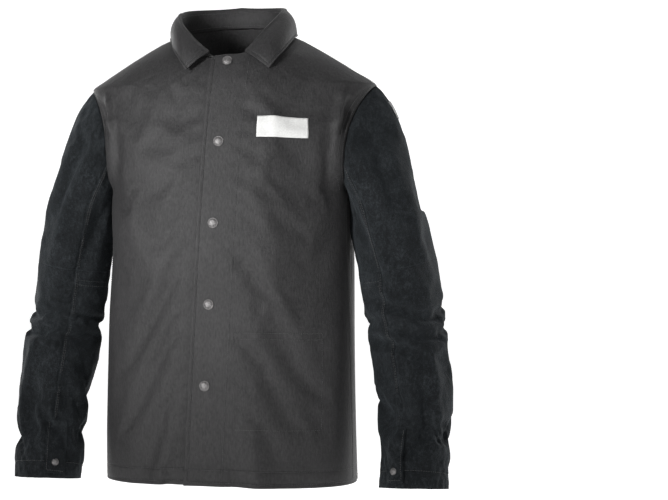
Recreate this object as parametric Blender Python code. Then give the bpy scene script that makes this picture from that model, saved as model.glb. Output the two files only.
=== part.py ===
"""Snap-front welding jacket: woven cotton body, split-leather sleeves, folded collar, snap plackets.

Metres, +Z up, the front faces -Y and the wearer's left is +X. The origin is midway between the two neck
points of the shoulder seams. Cloth and leather are thin shells laid on one analytic body surface.
"""
import math

import bmesh
import bpy
from mathutils import Vector

# Layers, metres
CLOTH = 0.0025
FACING = 0.0020
LEATHER = 0.0030
SEAM_GAP = 0.0006
LAYER_GAP = 0.0011
POCKET_GAP = 0.0022
LAP_ROOM = 0.0052        # room between the two fronts, where the snaps meet

# Body outline, metres
HEM_Z = -0.743
ARMPIT_Z = -0.270
TIP_X, TIP_Z = 0.245, -0.090
NECK_X = 0.093
THROAT_Z = -0.050
NAPE_Z = 0.020
ARMPIT_X = 0.198
ARMHOLE_BULGE = 0.030
SHOULDER_POWER = 1.12
HALF_WIDTH = ((HEM_Z, 0.212), (-0.50, 0.205), (ARMPIT_Z, ARMPIT_X))
FRONT_DEPTH = ((HEM_Z, 0.148), (-0.45, 0.147), (-0.27, 0.141), (-0.15, 0.124), (-0.05, 0.091), (0.0, 0.035))
BACK_DEPTH = ((HEM_Z, 0.132), (-0.45, 0.133), (-0.20, 0.132), (-0.09, 0.117), (0.0, 0.085), (NAPE_Z, 0.076))
SQUARENESS = ((HEM_Z, 2.5), (ARMPIT_Z, 2.5), (TIP_Z, 2.0))

# Front closing
SNAP_X_AT_CHEST, SNAP_CHEST_Z, SNAP_DRIFT = 0.006, -0.190, 0.049
OVERLAP, UNDERLAP = 0.027, 0.023
SNAP_TOP_Z, SNAP_PITCH, SNAP_COUNT = -0.060, 0.1305, 5
FACING_WIDTH = 0.065
LEFT_FOLD = ((-0.205, None), (HEM_Z, 0.135))     # z and x of the fold line; None starts it on the edge
RIGHT_FOLD = ((-0.370, None), (HEM_Z, 0.165))
FADE_FROM, FADE_OVER, NECK_FADE = 0.070, 0.080, 0.035
POCKET_X, POCKET_Z = (0.030, 0.172), (-0.655, -0.492)

# Snap pieces: radii and heights, metres
CAP_R, CAP_H = 0.0083, 0.0030
SOCKET_R, SOCKET_BORE, SOCKET_H = 0.0065, 0.0032, 0.0018
STUD_R, STUD_NECK, STUD_BASE_H, STUD_H = 0.0060, 0.0025, 0.0010, 0.0030
POST_R, POST_H = 0.0065, 0.0010
CUFF_SNAP_SCALE = 0.70
REST_GAP = 0.0009

# Sleeves: centre line and half sizes against height, metres
CAP_END_Z = -0.300
CUFF_Z = -0.750
CENTRE_X = ((CAP_END_Z, 0.262), (-0.47, 0.295), (-0.60, 0.309), (CUFF_Z, 0.311))
CENTRE_Y = ((CAP_END_Z, 0.000), (-0.47, 0.005), (-0.60, -0.020), (CUFF_Z, -0.055))
HALF_ACROSS = ((CAP_END_Z, 0.060), (-0.47, 0.060), (-0.60, 0.058), (CUFF_Z, 0.056))
HALF_DEEP = ((CAP_END_Z, 0.083), (-0.47, 0.072), (-0.60, 0.061), (CUFF_Z, 0.048))
FRONT_SEAM, BACK_SEAM = 112.0, 245.0             # degrees round the sleeve from its outer side, front first
CAP_SPLIT = 0.62                                 # share of the cap that gives at the shoulder
ELBOW_TOP_Z, ELBOW_BOTTOM_Z = -0.425, -0.520
TAB_ANGLES, TAB_Z = (101.0, 134.0), (-0.746, -0.660)
TAB_ROOM = 0.0048
POST_ROOM = 0.0016       # the flat post stands off the curved cuff lining
CUFF_SNAP_ANGLE, CUFF_SNAP_Z = 116.0, -0.730
CUFF_FACING_Z = -0.715

# Collar
COLLAR_FRONT = 163.0                             # degrees from the nape to each front end
STAND_IN = 0.0080
FOLD_NAPE_Z, FOLD_SIDE_Z, FOLD_FRONT_Z = 0.057, 0.043, -0.036
LEAF_NAPE, LEAF_SIDE, LEAF_TIP = (0.0, 0.101, 0.012), (0.110, 0.004, 0.001), (0.069, -0.112, -0.067)
COLLAR_THICK = 0.0030

MATERIALS = {
    "cotton": ((0.030, 0.029, 0.031), 0.85, 0.0),
    "lining_cotton": ((0.034, 0.033, 0.035), 0.88, 0.0),
    "split_leather": ((0.016, 0.018, 0.021), 0.92, 0.0),
    "pewter": ((0.120, 0.115, 0.115), 0.38, 0.9),
    "woven_white": ((0.75, 0.75, 0.74), 0.80, 0.0),
    "woven_red": ((0.45, 0.02, 0.03), 0.80, 0.0),
    "woven_grey": ((0.30, 0.30, 0.30), 0.80, 0.0),
}


def clear_scene():
    for item in list(bpy.data.objects):
        bpy.data.objects.remove(item, do_unlink=True)


def material(name):
    """A Principled material from the table, made once."""
    made = bpy.data.materials.get(name)
    if made is None:
        made = bpy.data.materials.new(name)
        made.use_nodes = True
        shader = made.node_tree.nodes["Principled BSDF"]
        colour, roughness, metallic = MATERIALS[name]
        shader.inputs["Base Color"].default_value = (*colour, 1.0)
        shader.inputs["Roughness"].default_value = roughness
        shader.inputs["Metallic"].default_value = metallic
    return made


def smooth(value):
    value = min(1.0, max(0.0, value))
    return value * value * (3.0 - 2.0 * value)


def through(keys, at):
    """A smooth curve through (position, value) keys, flat beyond its ends."""
    keys = sorted(keys)
    if at <= keys[0][0]:
        return keys[0][1]
    if at >= keys[-1][0]:
        return keys[-1][1]
    slopes = []
    for index in range(len(keys)):
        low, high = keys[max(index - 1, 0)], keys[min(index + 1, len(keys) - 1)]
        slopes.append((high[1] - low[1]) / (high[0] - low[0]))
    for index in range(len(keys) - 1):
        (start, first), (end, last) = keys[index], keys[index + 1]
        if start <= at <= end:
            span = end - start
            t = (at - start) / span
            bend_in = t * (1 - t) ** 2 * span * slopes[index]
            bend_out = t * t * (t - 1) * span * slopes[index + 1]
            return first + (last - first) * smooth(t) + bend_in + bend_out
    return keys[-1][1]


def signed_power(value, power):
    return math.copysign(abs(value) ** power, value)


# Body surface: horizontal sections, each a squarish oval

def shoulder_x(z):
    return NECK_X + (TIP_X - NECK_X) * max(0.0, z / TIP_Z) ** (1.0 / SHOULDER_POWER)


def armhole_x(z):
    return ARMPIT_X + (TIP_X - ARMPIT_X) * max(0.0, (z - ARMPIT_Z) / (TIP_Z - ARMPIT_Z)) ** 3


def half_width(z):
    if z <= ARMPIT_Z:
        return through(HALF_WIDTH, z)
    if z <= TIP_Z:
        share = (z - ARMPIT_Z) / (TIP_Z - ARMPIT_Z)
        return armhole_x(z) + ARMHOLE_BULGE * math.sin(math.pi * share)
    return shoulder_x(min(z, 0.0)) + 0.004 * smooth(z / NAPE_Z)


def half_depth(face, z):
    return through(FRONT_DEPTH if face < 0 else BACK_DEPTH, z)


def body_point(face, turn, z):
    """turn is 0 on the middle line and 1 at the side seam; face is -1 in front and 1 behind."""
    power = 2.0 / through(SQUARENESS, z)
    angle = turn * math.pi / 2
    x = half_width(z) * signed_power(math.sin(angle), power)
    y = face * half_depth(face, z) * signed_power(math.cos(angle), power)
    return Vector((x, y, z))


def body_normal(face, turn, z):
    step = 0.004
    across = body_point(face, turn + step, z) - body_point(face, turn - step, z)
    up = body_point(face, turn, z + step) - body_point(face, turn, z - step)
    normal = up.cross(across) if face > 0 else across.cross(up)
    return normal.normalized()


def turn_at(x, z):
    share = min(1.0, abs(x) / half_width(z))
    return math.copysign(math.asin(share ** (through(SQUARENESS, z) / 2)) * 2 / math.pi, x)


def last_turn(face, z):
    """Where a panel ends at a height: side seam, armhole or shoulder seam, less the seam gap."""
    near = (SEAM_GAP / half_depth(face, z)) ** (through(SQUARENESS, z) / 2)
    end = math.acos(near) * 2 / math.pi
    if ARMPIT_Z < z < TIP_Z:
        end = min(end, turn_at(armhole_x(z) - SEAM_GAP, z))
    if z > 0:
        end = min(end, turn_at(NECK_X * math.sqrt(1 - (z / NAPE_Z) ** 2), z))
    return end


# Meshes

def finish_mesh(name, mesh_data, skin, origin=(0.0, 0.0, 0.0)):
    """Closes, cleans and places a mesh whose points are in world coordinates."""
    bmesh.ops.remove_doubles(mesh_data, verts=mesh_data.verts, dist=0.00002)
    bmesh.ops.recalc_face_normals(mesh_data, faces=mesh_data.faces)
    bmesh.ops.translate(mesh_data, verts=mesh_data.verts, vec=-Vector(origin))
    mesh = bpy.data.meshes.new(name)
    mesh_data.to_mesh(mesh)
    mesh_data.free()
    mesh.materials.append(material(skin))
    mesh.shade_smooth()
    mesh.set_sharp_from_angle(angle=math.radians(40))
    made = bpy.data.objects.new(name, mesh)
    made.location = origin
    bpy.context.scene.collection.objects.link(made)
    return made


def shell(name, outer, inner, skin, ring=False, origin=(0.0, 0.0, 0.0)):
    """A thin closed solid between two matching grids of points; ring joins each row's ends."""
    mesh_data = bmesh.new()
    grids = [[[mesh_data.verts.new(point) for point in row] for row in grid] for grid in (outer, inner)]
    rows, columns = len(outer), len(outer[0])
    pairs = [(column, column + 1) for column in range(columns - 1)]
    if ring:
        pairs.append((columns - 1, 0))
    for row in range(rows - 1):
        for left, right in pairs:
            for grid in grids:
                mesh_data.faces.new((grid[row][left], grid[row][right], grid[row + 1][right], grid[row + 1][left]))
    for left, right in pairs:
        for row in (0, rows - 1):
            mesh_data.faces.new((grids[0][row][left], grids[0][row][right], grids[1][row][right], grids[1][row][left]))
    if not ring:
        for row in range(rows - 1):
            for column in (0, columns - 1):
                mesh_data.faces.new((grids[0][row][column], grids[0][row + 1][column],
                                     grids[1][row + 1][column], grids[1][row][column]))
    return finish_mesh(name, mesh_data, skin, origin)


def thickened(grid, depth, ring=False):
    """The grid moved along its own normals by depth."""
    moved = []
    rows, columns = len(grid), len(grid[0])
    for row in range(rows):
        line = []
        for column in range(columns):
            before, after = column - 1, column + 1
            if ring:
                after %= columns
            else:
                before, after = max(before, 0), min(after, columns - 1)
            across = grid[row][after] - grid[row][before]
            down = grid[min(row + 1, rows - 1)][column] - grid[max(row - 1, 0)][column]
            line.append(grid[row][column] + across.cross(down).normalized() * depth)
        moved.append(line)
    return moved


def turned(name, profile, place, axis, skin, sides=10):
    """A solid of revolution: profile is (radius, height) from the axis out and back to it."""
    mesh_data = bmesh.new()
    turn = Vector((0, 0, 1)).rotation_difference(axis).to_matrix()
    rings = []
    for radius, height in profile:
        count = sides if radius > 0 else 1
        ring = []
        for index in range(count):
            angle = index * math.tau / count
            local = Vector((radius * math.cos(angle), radius * math.sin(angle), height))
            ring.append(mesh_data.verts.new(place + turn @ local))
        rings.append(ring)
    for low, high in zip(rings, rings[1:]):
        for index in range(sides):
            after = (index + 1) % sides
            corners = [low[index % len(low)], low[after % len(low)], high[after % len(high)], high[index % len(high)]]
            mesh_data.faces.new(list(dict.fromkeys(corners)))
    if len(rings[0]) > 1:
        for index in range(sides):
            after = (index + 1) % sides
            mesh_data.faces.new((rings[-1][index], rings[-1][after], rings[0][after], rings[0][index]))
    return finish_mesh(name, mesh_data, skin)


# Body panels

def snap_x(z):
    return SNAP_X_AT_CHEST + (z - SNAP_CHEST_Z) * SNAP_DRIFT


def front_edge(side, z):
    """The front's free edge, in metres from the middle towards that side."""
    return snap_x(z) - OVERLAP if side > 0 else -snap_x(z) - UNDERLAP


def fold_x(side, z):
    (top_z, _), (low_z, low_x) = LEFT_FOLD if side > 0 else RIGHT_FOLD
    top_x = front_edge(side, top_z)
    return top_x + (low_x - top_x) * (z - top_z) / (low_z - top_z)


def fold_top(side):
    return LEFT_FOLD[0][0] if side > 0 else RIGHT_FOLD[0][0]


def lap_lift(side, x, z):
    """How far a front's inner face stands off the body surface: the left front lies over the right."""
    over = LAP_ROOM + FACING + LAYER_GAP
    rest = -CLOTH
    if side < 0:
        return rest
    share = (1 - smooth((x - FADE_FROM) / FADE_OVER)) * (1 - smooth((z - THROAT_Z) / NECK_FADE))
    return rest + (over - rest) * share


def neck_start(side, z):
    """The neck seam's distance from the middle; it is centred on the closing at the throat."""
    share = math.sqrt(max(0.0, 1 - (z / THROAT_Z) ** 2))
    return side * snap_x(THROAT_Z) * (1 - share) + NECK_X * share


def layer_point(side, turn, z, lift):
    point = body_point(-1, turn, z)
    point += body_normal(-1, turn, z) * lift
    if z == HEM_Z:
        point.z = HEM_Z
    return Vector((side * point.x, point.y, point.z))


def front_layer(name, skin, side, levels, start, end, thick, columns, below=0.0, origin=(0.0, 0.0, 0.0)):
    """A layer of a front between two edges; start and end give turns at a height."""
    outer, inner = [], []
    for z in levels:
        first, last = start(z), end(z)
        outer_row, inner_row = [], []
        for column in range(columns + 1):
            turn = first + (last - first) * column / columns
            x = body_point(-1, turn, z).x
            lift = lap_lift(side, x, z) - below
            inner_row.append(layer_point(side, turn, z, lift))
            outer_row.append(layer_point(side, turn, z, lift + thick))
        outer.append(outer_row)
        inner.append(inner_row)
    return shell(name, outer, inner, skin, origin=origin)


def even(low, high, count):
    return [low + (high - low) * index / count for index in range(count + 1)]


def shared_levels(low, high):
    """Heights between two limits, from one list, so that layers bend at the same places."""
    common = even(HEM_Z, ARMPIT_Z, 6) + [-0.262, -0.240, -0.21, -0.18, -0.15, -0.128, -0.108, TIP_Z, -0.07, THROAT_Z]
    return [low] + [z for z in common if low + 0.004 < z < high - 0.004] + [high]


def neck_levels(count, stop):
    return [THROAT_Z * math.cos(math.pi / 2 * stop * index / count) for index in range(1, count + 1)]


def front_side(side, word):
    """The part of a front that stays put: fold line to side seam, armhole and shoulder seam."""
    top = fold_top(side)

    def start(z):
        if z > THROAT_Z:
            return turn_at(neck_start(side, z), z)
        if z >= top:
            return turn_at(front_edge(side, z), z)
        return turn_at(fold_x(side, z) + SEAM_GAP, z)

    levels = shared_levels(HEM_Z, top) + shared_levels(top, THROAT_Z)[1:] + neck_levels(5, 0.95)
    front_layer(word + "_front_side", "cotton", side, levels, start, lambda z: last_turn(-1, z), CLOTH, 9)


def front_flap(side, word, origin):
    """The part of a front that turns back: free edge to fold line."""
    levels = shared_levels(HEM_Z, fold_top(side) - 0.012)
    front_layer(word + "_front_flap", "cotton", side, levels,
                lambda z: turn_at(front_edge(side, z), z),
                lambda z: turn_at(fold_x(side, z) - SEAM_GAP, z), CLOTH, 8, origin=origin)


def front_facings(side, word, origin):
    """The doubled strip behind each front edge, in its turning and its fixed length."""
    below = FACING + LAYER_GAP
    inset = 0.001
    crossing = next(z for z in even(fold_top(side), HEM_Z, 400)
                    if fold_x(side, z) > front_edge(side, z) + FACING_WIDTH)

    def edge(z):
        return turn_at(front_edge(side, z) + inset, z)

    def flap_end(z):
        return turn_at(min(front_edge(side, z) + FACING_WIDTH, fold_x(side, z) - SEAM_GAP), z)

    def fixed_start(z):
        x = front_edge(side, z) + inset
        if z < fold_top(side):
            x = max(x, fold_x(side, z) + SEAM_GAP)
        return turn_at(x, z)

    levels = shared_levels(HEM_Z, crossing) + shared_levels(crossing, fold_top(side) - 0.016)[1:]
    front_layer(word + "_facing", "lining_cotton", side, levels, edge, flap_end, FACING, 3, below, origin)
    levels = shared_levels(crossing + 0.004, fold_top(side)) + shared_levels(fold_top(side), THROAT_Z - 0.001)[1:]
    front_layer(word + "_facing_upper", "lining_cotton", side, levels, fixed_start,
                lambda z: turn_at(front_edge(side, z) + FACING_WIDTH, z), FACING, 3, below)


def inside_pocket(origin):
    """A patch behind the wearer's left front, in two nodes that meet at the fold line."""
    below = FACING + POCKET_GAP
    facing_end = FACING_WIDTH + 0.002

    def fold(z, gap):
        return turn_at(fold_x(1, z) + gap, z)

    def start(z):
        return turn_at(max(POCKET_X[0], front_edge(1, z) + facing_end), z)

    levels = shared_levels(*POCKET_Z)
    front_layer("inside_pocket_flap_part", "lining_cotton", 1, levels, start,
                lambda z: fold(z, -SEAM_GAP), FACING, 3, below, origin)
    front_layer("inside_pocket_side_part", "lining_cotton", 1, levels, lambda z: fold(z, SEAM_GAP),
                lambda z: turn_at(POCKET_X[1], z), FACING, 3, below)


def back_panel():
    levels = even(HEM_Z, ARMPIT_Z, 6) + [-0.262, -0.240, -0.21, -0.175, -0.13, TIP_Z, -0.055, -0.03, -0.012, 0.0]
    levels += [NAPE_Z * share for share in (0.5, 0.85, 0.985)]
    outer, inner = [], []
    for z in levels:
        last = last_turn(1, z)
        outer_row, inner_row = [], []
        for share in even(-1.0, 1.0, 18):
            point = body_point(1, last * share, z)
            normal = body_normal(1, last * share, z)
            low = point - normal * CLOTH
            if z == HEM_Z:
                low.z = HEM_Z
            outer_row.append(point)
            inner_row.append(low)
        outer.append(outer_row)
        inner.append(inner_row)
    shell("back_panel", outer, inner, "cotton")


# Collar

def neckline(angle):
    """The neck seam at an angle from the nape, on the body surface."""
    share = abs(math.cos(angle))
    x = NECK_X * math.sin(abs(angle))
    if abs(angle) < math.pi / 2:
        z, face = NAPE_Z * share * 0.98, 1
    else:
        z, face = THROAT_Z * share, -1
        x = neck_start(math.copysign(1, angle), z)
    point = body_point(face, turn_at(x, z), z)
    return Vector((math.copysign(point.x, angle), point.y, z))


def collar_fold(angle):
    """The roll line: highest at the nape, down to the throat at both front ends."""
    turn = math.degrees(abs(angle)) / COLLAR_FRONT
    base = neckline(angle)
    z = through(((0.0, FOLD_NAPE_Z), (0.5, FOLD_SIDE_Z), (0.8, 0.004), (1.0, FOLD_FRONT_Z)), turn)
    flare = 1.0 - 0.02 * math.sin(math.pi * turn)
    x, y = base.x * flare, base.y * flare - 0.006 * smooth(turn * 2 - 1)
    return Vector((x + math.copysign(0.010 * smooth(turn * 3 - 2), angle), y, z))


def leaf_edge(angle):
    """The leaf's free edge, from the nape over the shoulder to the collar point."""
    turn = math.degrees(abs(angle))
    if turn <= 90.0:
        share = math.sin(math.radians(turn))
        x = LEAF_SIDE[0] * share
        y = LEAF_SIDE[1] + (LEAF_NAPE[1] - LEAF_SIDE[1]) * math.cos(math.radians(turn))
        z = LEAF_NAPE[2] + (LEAF_SIDE[2] - LEAF_NAPE[2]) * share * share
    else:
        share = (turn - 90.0) / (COLLAR_FRONT - 90.0)
        x = LEAF_SIDE[0] + (LEAF_TIP[0] - LEAF_SIDE[0]) * share ** 1.6
        y = LEAF_SIDE[1] + (LEAF_TIP[1] - LEAF_SIDE[1]) * math.sin(share * math.pi / 2)
        z = LEAF_SIDE[2] + (LEAF_TIP[2] - LEAF_SIDE[2]) * share ** 1.2
    return Vector((math.copysign(x, angle), y, z))


def raised_clear(point, clearance):
    """Moves a point up and out until it stands clear of the body surface."""
    point = point.copy()
    face = -1 if point.y < 0 else 1
    while point.z < NAPE_Z:
        depth = body_point(face, turn_at(point.x, point.z), point.z).y
        if abs(point.x) >= half_width(point.z) + clearance or abs(point.y) >= abs(depth) + clearance:
            break
        point.z += 0.0005
    return point


def collar():
    angles = [math.radians(COLLAR_FRONT) * share for share in even(-1.0, 1.0, 22)]
    stand_rows, leaf_rows = [], []
    for share in (0.0, 0.5, 1.0):
        row = []
        for angle in angles:
            low = neckline(angle)
            inward = Vector((low.x, low.y, 0.0)).normalized() * STAND_IN
            low = low - inward + Vector((0.0, 0.0, 0.003))
            high = collar_fold(angle) - inward - Vector((0.0, 0.0, 0.004))
            row.append(low.lerp(high, share))
        stand_rows.append(row)
    for share in (0.0, 0.35, 0.7, 1.0):
        row = []
        for angle in angles:
            fold, edge = collar_fold(angle), leaf_edge(angle)
            outward = Vector((fold.x, fold.y, 0.0)).normalized()
            point = fold.lerp(edge, share) + outward * 0.006 * math.sin(math.pi * share)
            row.append(raised_clear(point, 0.0135 if point.y < -0.03 else 0.005))
        leaf_rows.append(row)
    shell("collar_stand", thickened(stand_rows, -COLLAR_THICK), stand_rows, "cotton")
    shell("collar_leaf", thickened(leaf_rows, COLLAR_THICK), leaf_rows, "cotton")


# Snaps

def snap(word, place, axis, layers, scale=1.0):
    """One press snap: cap and socket on the upper layer, stud and post on the lower one."""
    cap_at, socket_at, stud_at, post_at = layers
    r, h = CAP_R * scale, CAP_H * scale
    cap = ((0, 0), (r * 0.96, 0), (r, h * 0.22), (r * 0.86, h * 0.62), (r * 0.50, h * 0.94), (0, h))
    turned(word + "_cap", cap, place + axis * (cap_at + REST_GAP), axis, "pewter")
    socket_r, bore, high = SOCKET_R * scale, SOCKET_BORE * scale, SOCKET_H * scale
    socket = ((bore, -high), (socket_r, -high), (socket_r, 0), (bore, 0))
    turned(word + "_socket", socket, place + axis * (socket_at - REST_GAP), axis, "pewter")
    base = STUD_BASE_H * scale
    stud = ((0, 0), (STUD_R * scale, 0), (STUD_R * scale, base), (STUD_NECK * scale, base),
            (STUD_NECK * scale, STUD_H * scale), (0, STUD_H * scale))
    turned(word + "_stud", stud, place + axis * (stud_at + REST_GAP), axis, "pewter")
    post = ((0, -POST_H * scale), (POST_R * scale, -POST_H * scale), (POST_R * scale, 0), (0, 0))
    turned(word + "_post", post, place + axis * (post_at - REST_GAP), axis, "pewter")


def front_snaps():
    inner = lap_lift(1, 0.0, SNAP_CHEST_Z)
    layers = (inner + CLOTH, inner - LAYER_GAP - FACING, 0.0, -CLOTH - LAYER_GAP - FACING)
    for index in range(SNAP_COUNT):
        z = SNAP_TOP_Z - SNAP_PITCH * index
        turn = turn_at(snap_x(z), z)
        snap(f"snap_{index + 1}", body_point(-1, turn, z), body_normal(-1, turn, z), layers)


# Sleeves

def armhole_point(angle):
    """The armhole seam: 0 at the shoulder tip, a quarter turn in front, half a turn at the armpit."""
    middle, reach = (TIP_Z + ARMPIT_Z) / 2, (TIP_Z - ARMPIT_Z) / 2
    z = middle + reach * math.cos(angle)
    x = armhole_x(z)
    face = -1 if math.sin(angle) >= 0 else 1
    point = body_point(face, turn_at(x, z), z)
    return Vector((x, point.y if abs(math.sin(angle)) > 0.001 else 0.0, z))


def sleeve_ring_point(angle, z, lift):
    """A point of the sleeve below its cap, on a ring square to the centre line."""
    step = 0.005
    centre = Vector((through(CENTRE_X, z), through(CENTRE_Y, z), z))
    above = Vector((through(CENTRE_X, z + step), through(CENTRE_Y, z + step), z + step))
    below = Vector((through(CENTRE_X, z - step), through(CENTRE_Y, z - step), z - step))
    along = (below - above).normalized()
    front = Vector((0.0, -1.0, 0.0))
    out = front.cross(along).normalized()
    if out.x < 0:
        out = -out
    front = (front - along * front.dot(along)).normalized()
    across, deep = through(HALF_ACROSS, z) + lift, through(HALF_DEEP, z) + lift
    return centre + out * across * math.cos(angle) + front * deep * math.sin(angle)


def cap_point(angle, share, lift):
    """A point of the sleeve cap, between the armhole seam and the first square ring."""
    start = armhole_point(angle)
    end = sleeve_ring_point(angle, CAP_END_Z, 0.0)
    span = (end - start).length
    top = (1 + math.cos(angle)) / 2
    leave = Vector((0.12 + 0.50 * top, -0.25 * math.sin(angle), -1.0 + 0.18 * top)).normalized()
    arrive = (sleeve_ring_point(angle, CAP_END_Z - 0.01, 0.0) - end).normalized()
    t = share
    point = (start * (2 * t ** 3 - 3 * t ** 2 + 1) + leave * span * (t ** 3 - 2 * t ** 2 + t)
             + end * (3 * t ** 2 - 2 * t ** 3) + arrive * span * (t ** 3 - t ** 2))
    if lift:
        middle = Vector((0.222, 0.0, -0.18)).lerp(Vector((0.262, 0.0, CAP_END_Z)), share)
        point += (point - middle).normalized() * lift
    return point


def sleeve_point(angle, along, lift):
    """along is 0..1 over the cap, and a height below it."""
    if along < 0:
        return sleeve_ring_point(angle, along, lift)
    return cap_point(angle, along, lift)


def sleeve_part(name, side, stations, angles, skin, thick, lift, ring=False, origin=(0.0, 0.0, 0.0)):
    grids = []
    for depth in (lift, lift - thick):
        grid = []
        for along in stations:
            row = [sleeve_point(math.radians(angle), along, depth) for angle in angles]
            grid.append([Vector((side * point.x, point.y, point.z)) for point in row])
        grids.append(grid)
    return shell(name, grids[0], grids[1], skin, ring=ring, origin=origin)


def sleeve(side, word):
    """One leather sleeve: cap, upper and lower panels, elbow, cuff facing, vent tab and snap."""
    gap_angle = 0.5
    top_angles = even(BACK_SEAM - 360.0 + gap_angle, FRONT_SEAM - gap_angle, 10)
    under_angles = even(FRONT_SEAM + gap_angle, BACK_SEAM - gap_angle, 6)
    around = [index * 360.0 / 18 for index in range(18)]
    shoulder, elbow = shoulder_pivot(side), elbow_pivot(side)
    upper = even(CAP_SPLIT, 1.0, 2)[:-1] + even(CAP_END_Z, ELBOW_TOP_Z, 2)
    lower = even(ELBOW_BOTTOM_Z, CUFF_Z, 3)
    seam = 0.010
    sleeve_part(word + "_sleeve_cap", side, even(0.02, CAP_SPLIT - seam, 4), around, "split_leather",
                LEATHER, 0.0, ring=True)
    sleeve_part(word + "_sleeve_upper_top", side, upper, top_angles, "split_leather", LEATHER, 0.0, origin=shoulder)
    sleeve_part(word + "_sleeve_upper_under", side, upper, under_angles, "split_leather", LEATHER, 0.0,
                origin=shoulder)
    sleeve_part(word + "_sleeve_elbow", side, even(ELBOW_TOP_Z - 0.002, ELBOW_BOTTOM_Z + 0.002, 3), around,
                "split_leather", LEATHER, 0.0, ring=True, origin=shoulder)
    sleeve_part(word + "_sleeve_lower_top", side, lower, top_angles, "split_leather", LEATHER, 0.0, origin=elbow)
    sleeve_part(word + "_sleeve_lower_under", side, lower, under_angles, "split_leather", LEATHER, 0.0,
                origin=elbow)
    sleeve_part(word + "_cuff_facing", side, even(CUFF_FACING_Z, CUFF_Z + 0.001, 1), around, "split_leather",
                FACING, -LEATHER - LAYER_GAP * 2, ring=True, origin=elbow)
    tab_lift = TAB_ROOM + FACING
    sleeve_part(word + "_cuff_tab", side, even(TAB_Z[1], TAB_Z[0], 2), even(TAB_ANGLES[0], TAB_ANGLES[1], 4),
                "split_leather", FACING, tab_lift, origin=tab_pivot(side))
    angle = math.radians(CUFF_SNAP_ANGLE)
    place = sleeve_ring_point(angle, CUFF_SNAP_Z, 0.0)
    axis = (sleeve_ring_point(angle, CUFF_SNAP_Z, 0.01) - place).normalized()
    place, axis = Vector((side * place.x, place.y, place.z)), Vector((side * axis.x, axis.y, axis.z))
    layers = (tab_lift, TAB_ROOM, 0.0, -LEATHER - LAYER_GAP * 2 - FACING - POST_ROOM)
    snap(word + "_cuff_snap", place, axis, layers, CUFF_SNAP_SCALE)


# Joint axes

def shoulder_pivot(side):
    return Vector((side * 0.218, 0.0, -0.175))


def elbow_pivot(side):
    z = (ELBOW_TOP_Z + ELBOW_BOTTOM_Z) / 2
    return Vector((side * through(CENTRE_X, z), through(CENTRE_Y, z), z))


def tab_pivot(side):
    point = sleeve_ring_point(math.radians(TAB_ANGLES[1]), sum(TAB_Z) / 2, TAB_ROOM + FACING)
    return Vector((side * point.x, point.y, point.z))


def fold_pivot(side):
    """A point on the straight fold axis, which lies just outside the curved front."""
    z = (fold_top(side) + HEM_Z) / 2
    return fold_axis_point(side, z)


def fold_axis_point(side, z):
    heights = even(HEM_Z, fold_top(side), 24)
    room = 0.001
    reach = max(-layer_point(side, turn_at(fold_x(side, h), h), h, lap_lift(side, fold_x(side, h), h) + CLOTH).y
                for h in heights)
    return Vector((side * fold_x(side, z), -(reach + room), z))


def labels():
    """Plain woven labels on the chest, the back of the neck and the left sleeve."""
    lift = 0.0006
    thick = 0.0008
    outer, inner = [], []
    for z in even(-0.184, -0.150, 3):
        rows = [(turn_at(x, z), z) for x in even(0.066, 0.146, 6)]
        outer.append([layer_point(1, turn, z, lap_lift(1, body_point(-1, turn, z).x, z) + CLOTH + lift + thick)
                      for turn, z in rows])
        inner.append([layer_point(1, turn, z, lap_lift(1, body_point(-1, turn, z).x, z) + CLOTH + lift)
                      for turn, z in rows])
    shell("chest_label", outer, inner, "woven_white")
    outer, inner = [], []
    for z in even(-0.028, -0.008, 3):
        turns = [turn_at(x, z) for x in even(-0.035, 0.035, 6)]
        outer.append([body_point(1, turn, z) + body_normal(1, turn, z) * (lift + thick) for turn in turns])
        inner.append([body_point(1, turn, z) + body_normal(1, turn, z) * lift for turn in turns])
    shell("neck_label", outer, inner, "woven_red")
    stations = even(0.16, 0.30, 2)
    sleeve_part("sleeve_label", 1, stations, even(-8.0, 10.0, 3), "woven_grey", thick, lift + thick)


def build():
    clear_scene()
    back_panel()
    for side, word in ((1, "left"), (-1, "right")):
        origin = fold_pivot(side)
        front_side(side, word)
        front_flap(side, word, origin)
        front_facings(side, word, origin)
        sleeve(side, word)
    inside_pocket(fold_pivot(1))
    collar()
    front_snaps()
    labels()


build()
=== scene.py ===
"""Looks of the welding jacket: draped cotton panels, suede sleeves, collar, stitching, snaps and labels."""
import math

import bmesh
import bpy
import numpy as np
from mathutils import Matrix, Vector, noise
from mathutils.bvhtree import BVHTree


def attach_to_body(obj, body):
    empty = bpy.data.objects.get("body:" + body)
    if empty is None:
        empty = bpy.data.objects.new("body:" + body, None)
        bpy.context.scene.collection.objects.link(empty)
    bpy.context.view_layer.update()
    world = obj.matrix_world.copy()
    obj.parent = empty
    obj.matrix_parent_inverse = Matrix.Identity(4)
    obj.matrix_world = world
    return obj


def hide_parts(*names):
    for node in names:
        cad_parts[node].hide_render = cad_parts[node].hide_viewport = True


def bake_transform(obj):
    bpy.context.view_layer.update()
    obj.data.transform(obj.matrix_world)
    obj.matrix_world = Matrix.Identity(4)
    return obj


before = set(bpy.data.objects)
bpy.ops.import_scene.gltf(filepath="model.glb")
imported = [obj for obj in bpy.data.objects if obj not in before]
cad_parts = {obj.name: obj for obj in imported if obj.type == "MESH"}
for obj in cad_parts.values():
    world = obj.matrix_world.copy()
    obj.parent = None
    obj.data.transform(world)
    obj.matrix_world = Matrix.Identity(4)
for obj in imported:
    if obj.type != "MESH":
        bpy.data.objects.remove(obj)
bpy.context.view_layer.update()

# Bodies of the frame
BODY, LEFT_FLAP, RIGHT_FLAP = "jacket_body", "left_flap", "right_flap"
SIDES = ((1, "left"), (-1, "right"))

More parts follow.
